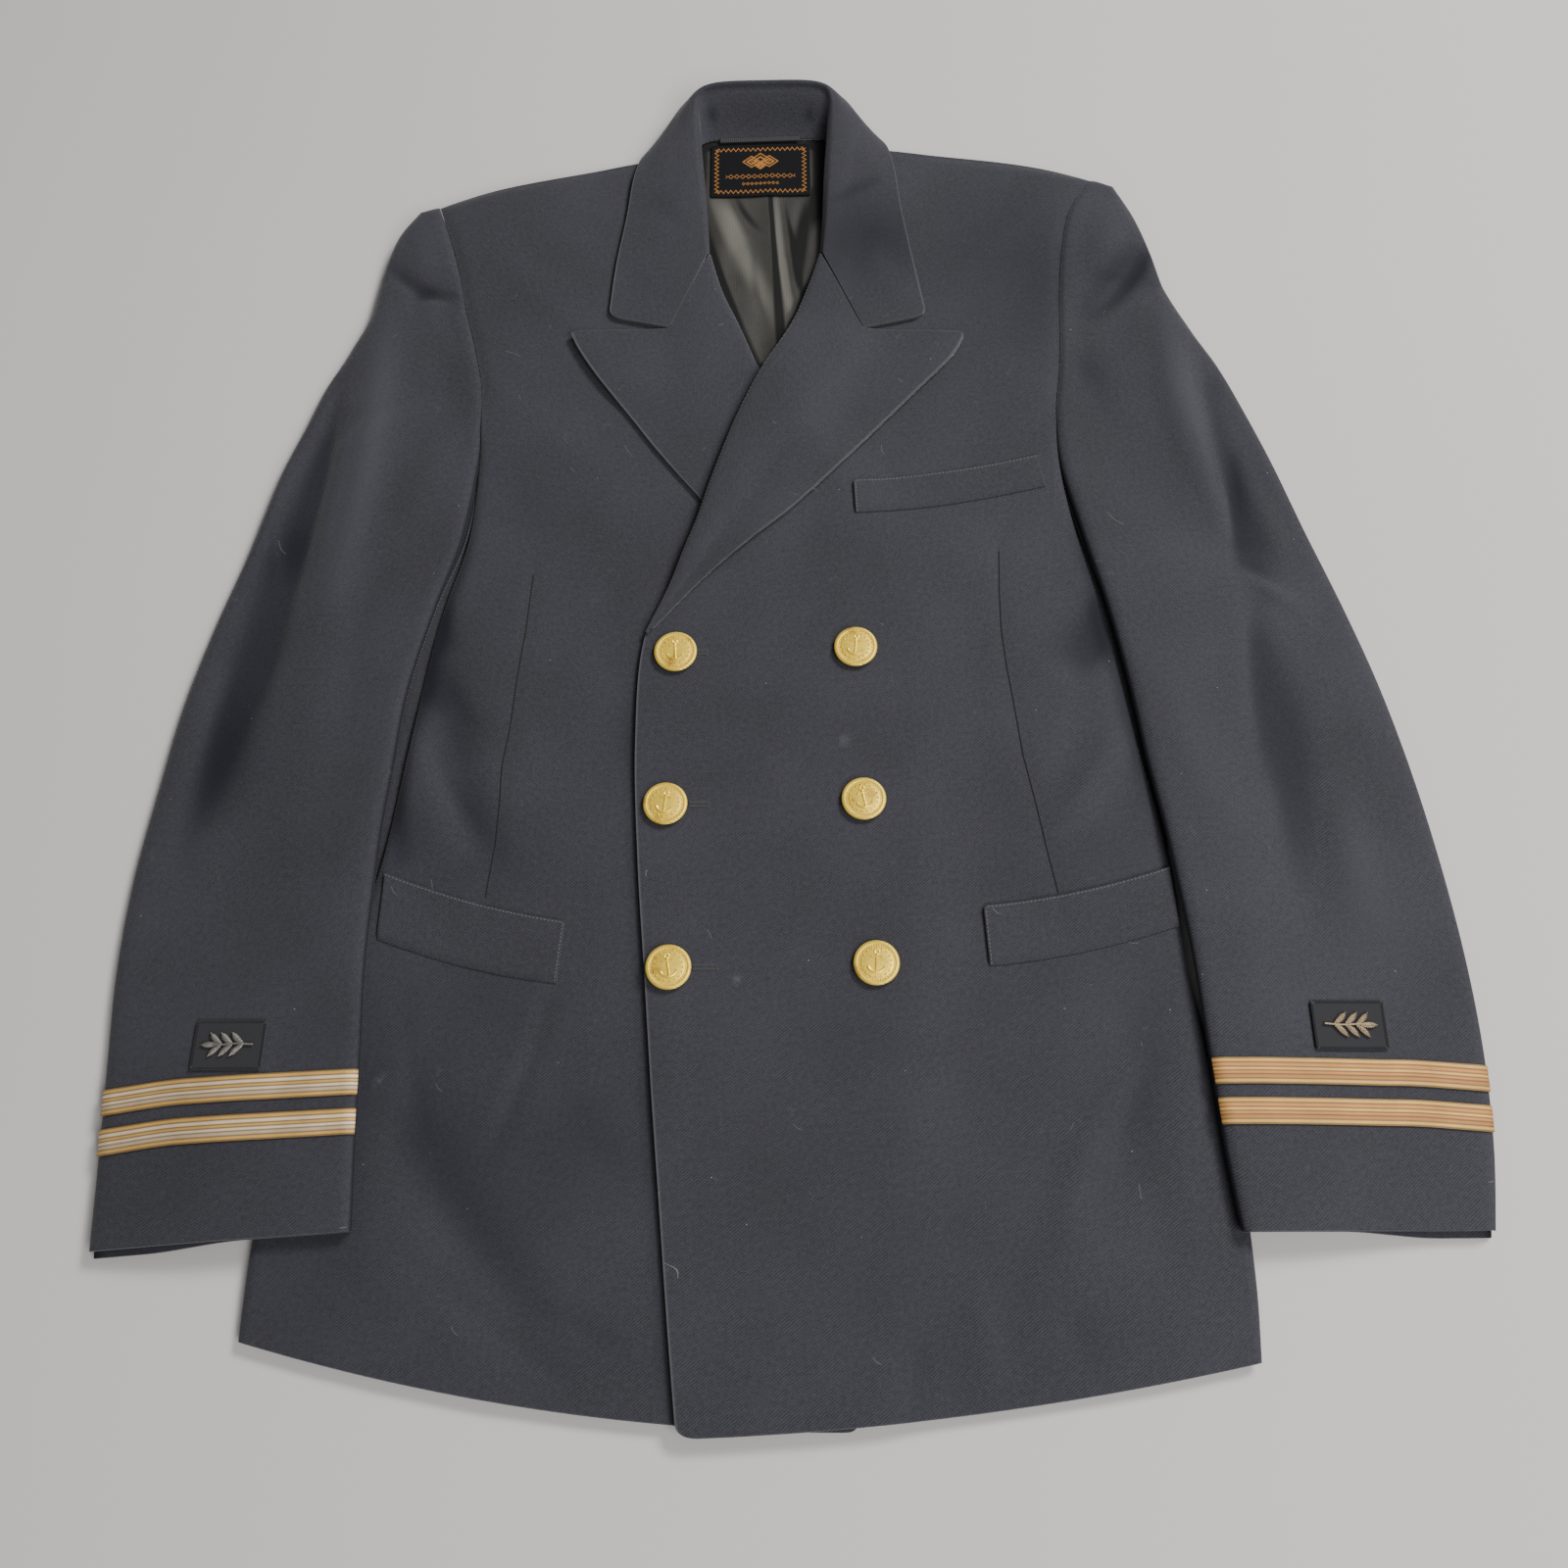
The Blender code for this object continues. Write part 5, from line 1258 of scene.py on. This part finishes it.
class JACKET_OT_sleeves(bpy.types.Operator):
    """Make the top and under sleeves"""
    bl_idname = "jacket.sleeves"
    bl_label = "Sleeves"

    def execute(self, context):
        step = context.scene.jacket_cloth.grid / MM
        for side in SIDES:
            t = stations(SLEEVES[side], SLEEVE_PITCH, step)
            t = np.union1d(t, over_turn(SHOULDER_ROLL, SLEEVE_HEAD_PITCH))[:, None]
            s = spaced(SLEEVE_WIDE, step, SLEEVE_ROLL, SLEEVE_ROLL)[None]
            points = sleeve_surface(side, t, s)
            x, y = points[..., 0], points[..., 1]
            # The top sleeve's rolled edges are painted dark as shade, and its folds and broad places as
            # shade and light
            painted_edge_shade = 1.0 - ramp(SLEEVE_WIDE * np.minimum(s, 1.0 - s), 0.0, 2.2)
            painted_edge_shade = painted_edge_shade * ramp(t, SLEEVE_FREE, SLEEVE_FREE + 1.0)
            marks = {"lie": 0.8 * creased("sleeve_" + side, x, y)
                     - painted_broad_shade("sleeve_" + side, x, y) - 3.0 * painted_edge_shade}
            sheet_piece("top_sleeve_" + side, points, CLOTH, wool(), side == "left",
                        marks, dark_satin())
            t = stations(SLEEVES[side], SLEEVE_PITCH, 1.6 * step)[:, None]
            s = spaced(SLEEVE_WIDE, 1.6 * step)[None]
            # The under sleeve's edges are painted dark as shade
            edge = DARKEST * (1.0 - ramp(SLEEVE_WIDE * np.minimum(s, 1.0 - s), 2.0, 6.0))
            sheet_piece("under_sleeve_" + side, under_sleeve_surface(side, t, s), CLOTH, wool(),
                        side == "left", {"lie": edge}, dark_satin())
        return {"FINISHED"}


class JACKET_OT_lapels(bpy.types.Operator):
    """Make the two peaked lapels"""
    bl_idname = "jacket.lapels"
    bl_label = "Lapels"

    def execute(self, context):
        step = 0.75 * context.scene.jacket_cloth.grid / MM
        for side in SIDES:
            t = np.union1d(stations(LAPELS[side], LAPEL_PITCH, step),
                           over_turn(LAPEL_END, LAPEL_END_PITCH))[:, None]
            s = spaced(LAPEL_WIDE, step, 2.5, 4.0)[None]
            points = lapel_surface(side, t, s)
            # Lapels painted a little lighter as light; the right lapel is painted darker beside the
            # left front's edge as its cast shadow
            marks = {"rim": rim_mark((1.0 - s) * 70.0, t * 22.0), "lie": 0.5}
            if side == "right":
                apart = edge_x("left", points[..., 1]) - points[..., 0]
                marks["lie"] = 0.5 - 2.4 * (1.0 - ramp(apart, 0.0, 11.0))
            sheet_piece("lapel_" + side, points, FACED, wool(), side == "left",
                        marks, turned=0.85)
        return {"FINISHED"}


class JACKET_OT_collar(bpy.types.Operator):
    """Make the collar, from one gorge round the neck to the other"""
    bl_idname = "jacket.collar"
    bl_label = "Collar"

    def execute(self, context):
        last = len(COLLAR) - 1
        ends = over_turn(COLLAR_END)
        t = np.union1d(np.linspace(0.0, last, 230), np.concatenate([ends, last - ends]))[:, None]
        q = np.concatenate([np.linspace(0.0, 1.0, 12), np.linspace(1.0, 2.0, 9)[1:],
                            np.linspace(2.0, 4.0, 44)[1:], [3.97, 3.985, 3.995]])
        t, q = np.broadcast_arrays(t, np.sort(q)[None])
        points = collar_surface(t, q)
        x, y = points[..., 0], points[..., 1]
        # The collar's folds and broad places are painted as shade and light; its free edges painted
        # lighter, partly wear, partly a painted highlight
        marks = {"rim": rim_mark((4.0 - q) * 30.0, t * 60.0, (last - t) * 60.0),
                 "lie": fold_height(CREASES["collar"], x, y) - painted_broad_shade("collar", x, y)}
        sheet_piece("collar", points, FACED, wool(), True,
                    marks, turned=0.85)
        return {"FINISHED"}


class JACKET_OT_welts(bpy.types.Operator):
    """Make the pocket welts with their edge stitching"""
    bl_idname = "jacket.welts"
    bl_label = "Pocket welts"

    def execute(self, context):
        for name, welt in WELTS.items():
            length = math.hypot(welt.end_x - welt.top_x, welt.end_y - welt.top_y)
            height = math.hypot(welt.low_x - welt.top_x, welt.low_y - welt.top_y)
            t = spaced(height, 1.4)[:, None]
            s = spaced(length, 1.6)[None]
            across, down = round_corner(s * length, (1.0 - t) * height, 2.2)
            s, t = across / length, 1.0 - down / height
            top_x, top_y = row_point((welt.top_x, welt.top_y, welt.end_x, welt.end_y, welt.bow), s)
            low_x, low_y = row_point((welt.low_x, welt.low_y, welt.end_low_x, welt.end_low_y,
                                      welt.bow), s)
            x, y = low_x + (top_x - low_x) * t, low_y + (top_y - low_y) * t
            z = front_top(welt.front, x, y) + LAYER_GAP + WELT_THICK
            z = z - 1.0 * bell(t * height, 2.0) + 0.35 * bell((1.0 - t) * height, 4.0)
            marks = edge_marks([(1.0 - t) * height, s * length], [s * length, -t * height])
            sheet_piece(name, np.stack([x, y, z], axis=-1), WELT_THICK, wool(),
                        welt.front == "right", marks, turned=0.5)
        return {"FINISHED"}


def only(piece):
    """Makes one piece the only selected and the active one."""
    bpy.ops.object.select_all(action="DESELECT")
    piece.select_set(True)
    bpy.context.view_layer.objects.active = piece


def joined(parts):
    """Makes one object of several, with their places, turns and sizes in its mesh."""
    bpy.ops.object.select_all(action="DESELECT")
    for part in parts:
        part.select_set(True)
    bpy.context.view_layer.objects.active = parts[0]
    bpy.ops.object.join()
    bpy.ops.object.transform_apply(location=True, rotation=True, scale=True)
    return bpy.context.object


def edit_all(change, **settings):
    """Runs one edit operator on the whole mesh of the active object."""
    bpy.ops.object.mode_set(mode="EDIT")
    bpy.ops.mesh.select_mode(type="VERT")
    bpy.ops.mesh.select_all(action="SELECT")
    change(**settings)
    bpy.ops.object.mode_set(mode="OBJECT")


def turned_disc(section, steps):
    """A turned solid: its half section spun round the upright axis."""
    mesh = bpy.data.meshes.new("Disc")
    edges = [(k, k + 1) for k in range(len(section) - 1)]
    mesh.from_pydata([(x, 0.0, z) for x, z in section], edges, [])
    piece = bpy.data.objects.new("Disc", mesh)
    bpy.context.scene.collection.objects.link(piece)
    only(piece)
    edit_all(bpy.ops.mesh.spin, steps=steps, angle=2.0 * math.pi, center=(0, 0, 0), axis=(0, 0, 1))
    edit_all(bpy.ops.mesh.remove_doubles, threshold=0.00001)
    edit_all(bpy.ops.mesh.normals_make_consistent, inside=False)
    return piece


def button_model(sizes):
    """One button: domed face, flat rim with a rope round it, and an anchor in relief."""
    radius = 0.5 * sizes.button_diameter
    section = [(share * radius, high * MM) for share, high in BUTTON_SECTION]
    parts = [turned_disc(section, BUTTON_STEPS)]
    for k in range(sizes.rope_beads):
        angle = 2.0 * math.pi * k / sizes.rope_beads
        place = (0.775 * radius * math.cos(angle), 0.775 * radius * math.sin(angle), 2.62 * MM)
        bpy.ops.mesh.primitive_uv_sphere_add(segments=8, ring_count=6, radius=0.42 * MM, location=place,
                                             rotation=(0.0, 0.0, angle + 0.7))
        bead = bpy.context.object
        bead.scale = (1.75, 0.85, 0.8)
        parts.append(bead)
    for k in range(INNER_BEADS):
        angle = 2.0 * math.pi * (k + 0.5) / INNER_BEADS
        place = (0.64 * radius * math.cos(angle), 0.64 * radius * math.sin(angle), 2.95 * MM)
        bpy.ops.mesh.primitive_uv_sphere_add(segments=8, ring_count=6, radius=0.5 * MM, location=place)
        parts.append(bpy.context.object)
    high = 3.3 * MM
    for vertices, thick, depth, up, turn in ((16, 0.62, 9.4, -0.4, (math.pi / 2, 0.0, 0.0)),
                                             (12, 0.52, 5.6, 2.9, (0.0, math.pi / 2, 0.0))):
        bpy.ops.mesh.primitive_cylinder_add(vertices=vertices, radius=thick * MM, depth=depth * MM,
                                            location=(0.0, up * MM, high), rotation=turn)
        parts.append(bpy.context.object)
    for reach, thick, segments, up, sunk in ((1.2, 0.45, 24, 5.3, 0.15), (4.2, 0.68, 48, -0.9, 0.2)):
        bpy.ops.mesh.primitive_torus_add(major_radius=reach * MM, minor_radius=thick * MM,
                                         major_segments=segments, minor_segments=8,
                                         location=(0.0, up * MM, high - sunk * MM))
        parts.append(bpy.context.object)
    only(parts[-1])
    edit_all(bpy.ops.mesh.bisect, plane_co=(0.0, -2.2 * MM, high), plane_no=(0, 1, 0),
             clear_outer=True, use_fill=True)
    for side in (-1.0, 1.0):
        bpy.ops.mesh.primitive_cone_add(vertices=4, radius1=1.25 * MM, depth=1.9 * MM,
                                        location=(side * 4.0 * MM, -1.6 * MM, high - 0.3 * MM),
                                        rotation=(-math.pi / 2, 0.0, 0.0))
        fluke = bpy.context.object
        fluke.scale = (0.95, 0.5, 1.0)
        parts.append(fluke)
    field = finish_named("Gilt brass", brass_finish, rgba(sizes.brass_colour, 0.98), 0.4, 0.05)
    relief = finish_named("Gilt brass relief", brass_finish, rgba(sizes.brass_colour), 0.28)
    for part in parts:
        part.data.materials.clear()
        part.data.materials.append(field if part is parts[0] else relief)
    piece = joined(parts)
    bpy.ops.object.shade_smooth_by_angle(angle=math.radians(38))
    return piece


class JACKET_OT_buttons(bpy.types.Operator):
    """Model one gilt button and sew on six copies"""
    bl_idname = "jacket.buttons"
    bl_label = "Buttons"

    def execute(self, context):
        model = button_model(context.scene.jacket_trim)
        for name, x, y, turn in BUTTONS:
            around = np.array([[x - 8.0, y], [x + 8.0, y], [x, y - 8.0], [x, y + 8.0]], float)
            west, east, south, north = front_top("left", around[:, 0], around[:, 1])
            tilt = Vector((-(east - west) / 16.0, -(north - south) / 16.0, 1.0)).normalized()
            base = float(front_top("left", np.array([float(x)]), np.array([float(y)]))[0]) + LAYER_GAP
            place = Vector((x, y, base)) - Vector(MIDDLE)
            mesh = model.data.copy()
            mesh.transform(Matrix.Translation(place * MM) @ Vector((0, 0, 1)).rotation_difference(tilt)
                           .to_matrix().to_4x4() @ Matrix.Rotation(math.radians(turn), 4, "Z"))
            piece = bpy.data.objects.new("Gilt_button_" + name, mesh)
            context.scene.collection.objects.link(piece)
            stand_for(piece, "button_" + name)
        bpy.data.objects.remove(model, do_unlink=True)
        return {"FINISHED"}


def cuff_rows(side, distances):
    """The fractional rows that lie at distances above the cuff, along the sleeve's middle."""
    table = SLEEVES[side]
    t = np.linspace(len(table) - 1.0, len(table) - 4.0, 600)
    x, y = row_point(columns_at(table, t), 0.5)
    walked = np.concatenate([[0.0], np.cumsum(np.hypot(np.diff(x), np.diff(y)))])
    return np.interp(distances, walked, t)


def outward(points):
    """Outward direction at each point of a grid that faces up."""
    normal = np.cross(np.gradient(points, axis=1), np.gradient(points, axis=0))
    normal /= np.linalg.norm(normal, axis=-1, keepdims=True)
    return normal * np.where(normal[..., 2:] < 0.0, -1.0, 1.0)


class JACKET_OT_lace(bpy.types.Operator):
    """Make two rows of gold lace on each cuff"""
    bl_idname = "jacket.lace"
    bl_label = "Cuff lace"

    def execute(self, context):
        sizes = context.scene.jacket_trim
        for side in SIDES:
            middle = Vector(sizes.lace_middle).lerp(Vector(sizes.lace_colour), LACE_WARMTH[side])
            middle = middle * Vector(LACE_TONES[side])
            finish = finish_named("Gold lace " + side, lace_finish, Vector(sizes.lace_colour), middle)
            for number, name in enumerate(("low", "high")):
                band = np.linspace(0.0, LACE_WIDTH, 38)[:, None]
                from_cuff = LACE_FROM_CUFF[side] + number * LACE_PITCH + LACE_WIDTH - band
                roll = 0.13 * SLEEVE_ROLL / 126.0
                s = np.linspace(roll, 1.0 - roll, 240)[None]
                t = cuff_rows(side, from_cuff - LACE_DROP * ramp(s, 0.66, 1.1))
                base = sleeve_surface(side, t, s)
                steps = np.diff(base, axis=1, prepend=base[:, :1])
                run = np.cumsum(np.linalg.norm(steps, axis=-1), axis=1)
                border = np.minimum(band, LACE_WIDTH - band)
                beads = abs(np.sin(math.pi * run / (sizes.bead_pitch / MM)))
                line = sum(bell(band - place, 0.33) for place in LACE_LINES)
                high = 0.3 * bell(border - 1.3, 0.7) * (0.35 + 0.65 * beads) - 0.22 * line
                high = high - 0.35 * (1.0 - rounded(border, 0.5))
                points = base + outward(base) * (LAYER_GAP + LACE_THICK + high)[..., None]
                marks = {"band": band, "line": np.clip(line, 0, 1)}
                sheet_piece("lace_%s_%s" % (name, side), points, LACE_THICK - 0.3, finish,
                            side == "left", marks, turned=0.15)
        return {"FINISHED"}


def flat_points(patch, surface, thick, step, corner=0.0):
    """A grid over a rectangle of cloth that lies on a surface, and its shares."""
    t = spaced(patch.height, step)[:, None]
    s = spaced(patch.width, step)[None]
    t, s = np.broadcast_arrays(t, s)
    px, py = (s - 0.5) * patch.width, (t - 0.5) * patch.height
    if corner:
        out, up = round_corner(0.5 * patch.width - abs(px), 0.5 * patch.height - abs(py), corner)
        px = np.sign(px) * (0.5 * patch.width - out)
        py = np.sign(py) * (0.5 * patch.height - up)
    x, y = turned_about(patch, px, py, patch.turn)
    z = surface(x, y) + PATCH_GAP + thick
    marks = edge_marks([0.5 * patch.width - abs(px), 0.5 * patch.height - abs(py)], [py, px])
    return np.stack([x, y, z], axis=-1), marks


class JACKET_OT_cuff_patches(bpy.types.Operator):
    """Make the black cuff patches that carry the embroidery"""
    bl_idname = "jacket.cuff_patches"
    bl_label = "Cuff patches"

    def execute(self, context):
        finish = finish_named("Black patch cloth", patch_finish, context.scene.jacket_cloth)
        for side, patch in PATCHES.items():
            points, marks = flat_points(patch, lambda x, y, side=side: sleeve_height(side, x, y),
                                        PATCH_THICK, 0.7, 1.2)
            sheet_piece("patch_" + side, points, PATCH_THICK, finish, False,
                        marks, turned=0.35)
        return {"FINISHED"}


Leaf = namedtuple("Leaf", "root_x angle length width")
SPRIG = [Leaf(root_x, angle, 9.0, width) for angle in (42, -42)
         for root_x, width in ((-8.5, 3.3), (-3.0, 3.4), (2.5, 3.2))] + [Leaf(4.5, 0, 9.0, 3.4)]
SPRIG_STEM = 13.0


def directions(path):
    """Along and square to a flat path at each of its points."""
    along = np.gradient(path, axis=0)
    along /= np.linalg.norm(along, axis=-1, keepdims=True)
    return along, np.stack([-along[:, 1], along[:, 0]], axis=-1)


def turned_about(patch, px, py, turn):
    """Places given from a patch's middle, turned about it."""
    return (patch.x + px * math.cos(turn) - py * math.sin(turn),
            patch.y + px * math.sin(turn) + py * math.cos(turn))


def wrapped(path, half_width, half_height, turns, ring=14):
    """A closed wire-wrapped form along a flat path: points, then faces."""
    count = len(path)
    _, side = directions(path)
    angle = 2.0 * math.pi * np.arange(ring) / ring
    share = np.linspace(0.0, 1.0, count)
    points = []
    for k in range(count):
        ridge = 1.0 + 0.14 * np.sin(2.0 * math.pi * turns * share[k] + 2.0 * abs(np.cos(angle)))
        out = half_width[k] * np.cos(angle) * (0.97 + 0.03 * ridge)
        up = half_height[k] * np.sin(angle) * ridge
        flat = path[k][None] + side[k][None] * out[:, None]
        points.append(np.concatenate([flat, up[:, None]], axis=-1))
    faces = [(k * ring + j, k * ring + (j + 1) % ring,
              (k + 1) * ring + (j + 1) % ring, (k + 1) * ring + j)
             for k in range(count - 1) for j in range(ring)]
    faces += [tuple(reversed(range(ring))), tuple(range((count - 1) * ring, count * ring))]
    return np.concatenate(points), faces


def leaf_barbs(path, half_width):
    """Short wires that slant from a leaf's rib to its edges on both sides."""
    along, side = directions(path)
    share = np.linspace(0.0, 1.0, 5)[:, None]
    taper = 0.3 * np.array([0.9, 1.0, 1.0, 0.85, 0.35])
    forms = []
    for k in range(3, len(path) - 5, 5):
        for way in (-1.0, 1.0):
            reach = half_width[min(k + 3, len(path) - 1)]
            end = path[k] + reach * (way * side[k] + 0.9 * along[k])
            forms.append(wrapped(path[k] + (end - path[k]) * share, taper, 1.7 * taper, 0.5, 6))
    return forms


class JACKET_OT_sprigs(bpy.types.Operator):
    """Make the embroidered leaf sprig of each cuff"""
    bl_idname = "jacket.sprigs"
    bl_label = "Leaf sprigs"

    def execute(self, context):
        sizes = context.scene.jacket_trim
        for side, patch in PATCHES.items():
            colour = sizes.silver_colour if side == "right" else sizes.bronze_colour
            finish = finish_named("Bullion " + side, bullion_finish, Vector(colour))
            forms = []
            for leaf in SPRIG:
                reach = np.linspace(0.0, 1.0, 46)
                turn = math.radians(leaf.angle)
                curve = 0.5 * np.sin(math.pi * reach) * np.sign(leaf.angle)
                out = leaf.length * reach
                path = np.stack([leaf.root_x + out * math.cos(turn) + curve * math.sin(turn),
                                 out * math.sin(turn) - curve * math.cos(turn)], axis=-1)
                wide = 0.5 * leaf.width * np.sin(math.pi * np.clip(reach, 0.015, 0.985)) ** 0.8
                forms.append(wrapped(path, 0.86 * wide, 0.34 * np.sqrt(wide / wide.max()), 9, 10))
                forms.append(wrapped(path, np.full(46, 0.22), np.full(46, 0.62), 22, 6))
                forms += leaf_barbs(path, wide)
            reach = np.linspace(-SPRIG_STEM, 7.0, 90)
            stem = np.stack([reach, 0.25 * np.sin(reach / 3.0)], axis=-1)
            forms.append(wrapped(stem, np.full(90, 0.55), np.full(90, 0.6), 34))
            points, faces = [], []
            for form, skin in forms:
                start = sum(len(part) for part in points)
                faces += [tuple(start + k for k in face) for face in skin]
                points.append(form)
            points = np.concatenate(points)
            turn = math.pi if side == "right" else 0.0
            x, y = turned_about(patch, points[:, 0], points[:, 1], turn)
            base = sleeve_height(side, x, y) + PATCH_GAP + PATCH_THICK + LAYER_GAP + 0.5 * SPRIG_THICK
            mesh = bpy.data.meshes.new("Sprig_" + side)
            spots = (np.stack([x, y, base + points[:, 2]], axis=-1) - MIDDLE) * MM
            mesh.from_pydata(spots.tolist(), [], faces)
            mesh.shade_smooth()
            mesh.materials.append(finish)
            piece = bpy.data.objects.new("Leaf_sprig_" + side, mesh)
            context.scene.collection.objects.link(piece)
            only(piece)
            edit_all(bpy.ops.mesh.normals_make_consistent, inside=False)
            stand_for(piece, "sprig_" + side)
        return {"FINISHED"}


class JACKET_OT_neck_trims(bpy.types.Operator):
    """Make the woven label and the hanger loop in the neck"""
    bl_idname = "jacket.neck_trims"
    bl_label = "Label and hanger loop"

    def execute(self, context):
        cloth = context.scene.jacket_cloth
        points, marks = flat_points(LABEL, lambda x, y: lining_height(x, y) - PATCH_GAP + TRIM_RISE,
                                    LABEL_THICK, 0.95, 1.0)
        sheet_piece("label", points, LABEL_THICK, finish_named("Woven label", label_finish, cloth),
                    False, marks, turned=0.3)
        base = CLOTH + SEAM_GAP + LINING + TRIM_RISE
        points, marks = flat_points(LOOP, lambda x, y: base + 0.0 * x, LABEL_THICK, 0.5)
        sheet_piece("hanger_loop", points, LABEL_THICK,
                    finish_named("Black loop tape", tape_finish, cloth), False,
                    marks, turned=0.3)
        return {"FINISHED"}


HOLE_STITCH = 0.55
Hole = namedtuple("Hole", "name x y length")
HOLES = [Hole("top", -38.0, 171.4, 4.5), Hole("middle", -41.0, 85.2, 9.5),
         Hole("low", -37.0, -0.6, 12.0)]


class JACKET_OT_buttonholes(bpy.types.Operator):
    """Work the buttonholes of the left front that show beside their buttons"""
    bl_idname = "jacket.buttonholes"
    bl_label = "Buttonholes"

    def execute(self, context):
        finish = finish_named("Black buttonhole thread", thread_finish, (0.03, 0.03, 0.034))
        for hole in HOLES:
            count = int(hole.length / HOLE_STITCH)
            spots = [(hole.x + HOLE_STITCH * k, hole.y + side * 0.95)
                     for k in range(count) for side in (-1.0, 1.0)]
            spots += [(hole.x + HOLE_STITCH * count + 0.3, hole.y + (k - 2) * 0.8) for k in range(5)]
            made = []
            for k, (x, y) in enumerate(spots):
                z = float(front_top("left", np.array([x]), np.array([y]))[0]) + 0.1
                bpy.ops.mesh.primitive_uv_sphere_add(segments=8, ring_count=6, radius=0.5 * MM,
                                                     location=(Vector((x, y, z)) - Vector(MIDDLE)) * MM)
                wrap = bpy.context.object
                wrap.scale = (0.6, 1.9, 0.75) if k < 2 * count else (1.5, 0.75, 0.7)
                made.append(wrap)
            piece = joined(made)
            bpy.ops.object.shade_smooth()
            piece.name = "Buttonhole_" + hole.name
            piece.data.materials.append(finish)
            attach(piece, "root")
        return {"FINISHED"}


def soft_light(name, place, aim, power, size):
    """A rectangular light that faces a place."""
    data = bpy.data.lights.new(name, "AREA")
    data.shape = "RECTANGLE"
    data.size, data.size_y = size
    data.energy = power
    light = bpy.data.objects.new(name, data)
    light.location = place
    light.rotation_euler = (Vector(aim) - Vector(place)).to_track_quat("-Z", "Y").to_euler()
    bpy.context.scene.collection.objects.link(light)
    return light


class JACKET_OT_stage(bpy.types.Operator):
    """Set the floor, the soft lights and the camera"""
    bl_idname = "jacket.stage"
    bl_label = "Stage"

    def execute(self, context):
        sizes = context.scene.jacket_stage
        bpy.ops.object.select_all(action="DESELECT")
        bpy.ops.mesh.primitive_plane_add(size=8.0, location=(0.0, 0.0, -0.0003))
        floor = context.object
        floor.name = "floor"
        floor.data.materials.append(floor_finish("Pale floor", sizes.floor_colour))
        soft_light("Key", (1.6, 1.4, 2.0), (0.0, 0.0, 0.0), sizes.key_power, (1.1, 0.7))
        soft_light("Fill", (1.0, -1.2, 1.8), (0.0, 0.0, 0.0), sizes.fill_power, (1.4, 1.4))
        world = bpy.data.worlds.new("Studio")
        world.use_nodes = True
        world.node_tree.nodes["Background"].inputs["Color"].default_value = (0.95, 0.97, 1.0, 1.0)
        world.node_tree.nodes["Background"].inputs["Strength"].default_value = 0.2
        context.scene.world = world
        camera = bpy.data.cameras.new("View")
        camera.sensor_width = 36.0
        camera.lens = sizes.focal_length
        camera.clip_start, camera.clip_end = 0.01, 20.0
        view = bpy.data.objects.new("View", camera)
        view.matrix_world = Matrix.Translation(CAMERA_PLACE) @ Matrix(CAMERA_TURN).to_4x4()
        context.scene.collection.objects.link(view)
        context.scene.camera = view
        return {"FINISHED"}


class JACKET_PT_panel(bpy.types.Panel):
    """Lists the jacket's pieces, sizes and colours"""
    bl_idname = "JACKET_PT_panel"
    bl_label = "Naval jacket"
    bl_space_type = "VIEW_3D"
    bl_region_type = "UI"
    bl_category = "Jacket"

    def draw(self, context):
        column = self.layout.column()
        scene = context.scene
        for group in (scene.jacket_cloth, scene.jacket_trim, scene.jacket_stage):
            for name in group.__annotations__:
                column.prop(group, name)
        for operator in OPERATORS:
            column.operator(operator.bl_idname)


OPERATORS = (JACKET_OT_stage, JACKET_OT_back, JACKET_OT_fronts, JACKET_OT_sleeves, JACKET_OT_lapels,
             JACKET_OT_collar, JACKET_OT_welts, JACKET_OT_buttons, JACKET_OT_buttonholes,
             JACKET_OT_lace, JACKET_OT_cuff_patches, JACKET_OT_sprigs, JACKET_OT_neck_trims)
CLASSES = (ClothSizes, TrimSizes, StageSizes) + OPERATORS + (JACKET_PT_panel,)


def register():
    for each in CLASSES:
        bpy.utils.register_class(each)
    bpy.types.Scene.jacket_cloth = PointerProperty(type=ClothSizes)
    bpy.types.Scene.jacket_trim = PointerProperty(type=TrimSizes)
    bpy.types.Scene.jacket_stage = PointerProperty(type=StageSizes)


def unregister():
    del bpy.types.Scene.jacket_cloth
    del bpy.types.Scene.jacket_trim
    del bpy.types.Scene.jacket_stage
    for each in reversed(CLASSES):
        bpy.utils.unregister_class(each)


def main():
    register()
    for operator in OPERATORS:
        group, name = operator.bl_idname.split(".")
        getattr(getattr(bpy.ops, group), name)()


if __name__ == "__main__":
    main()
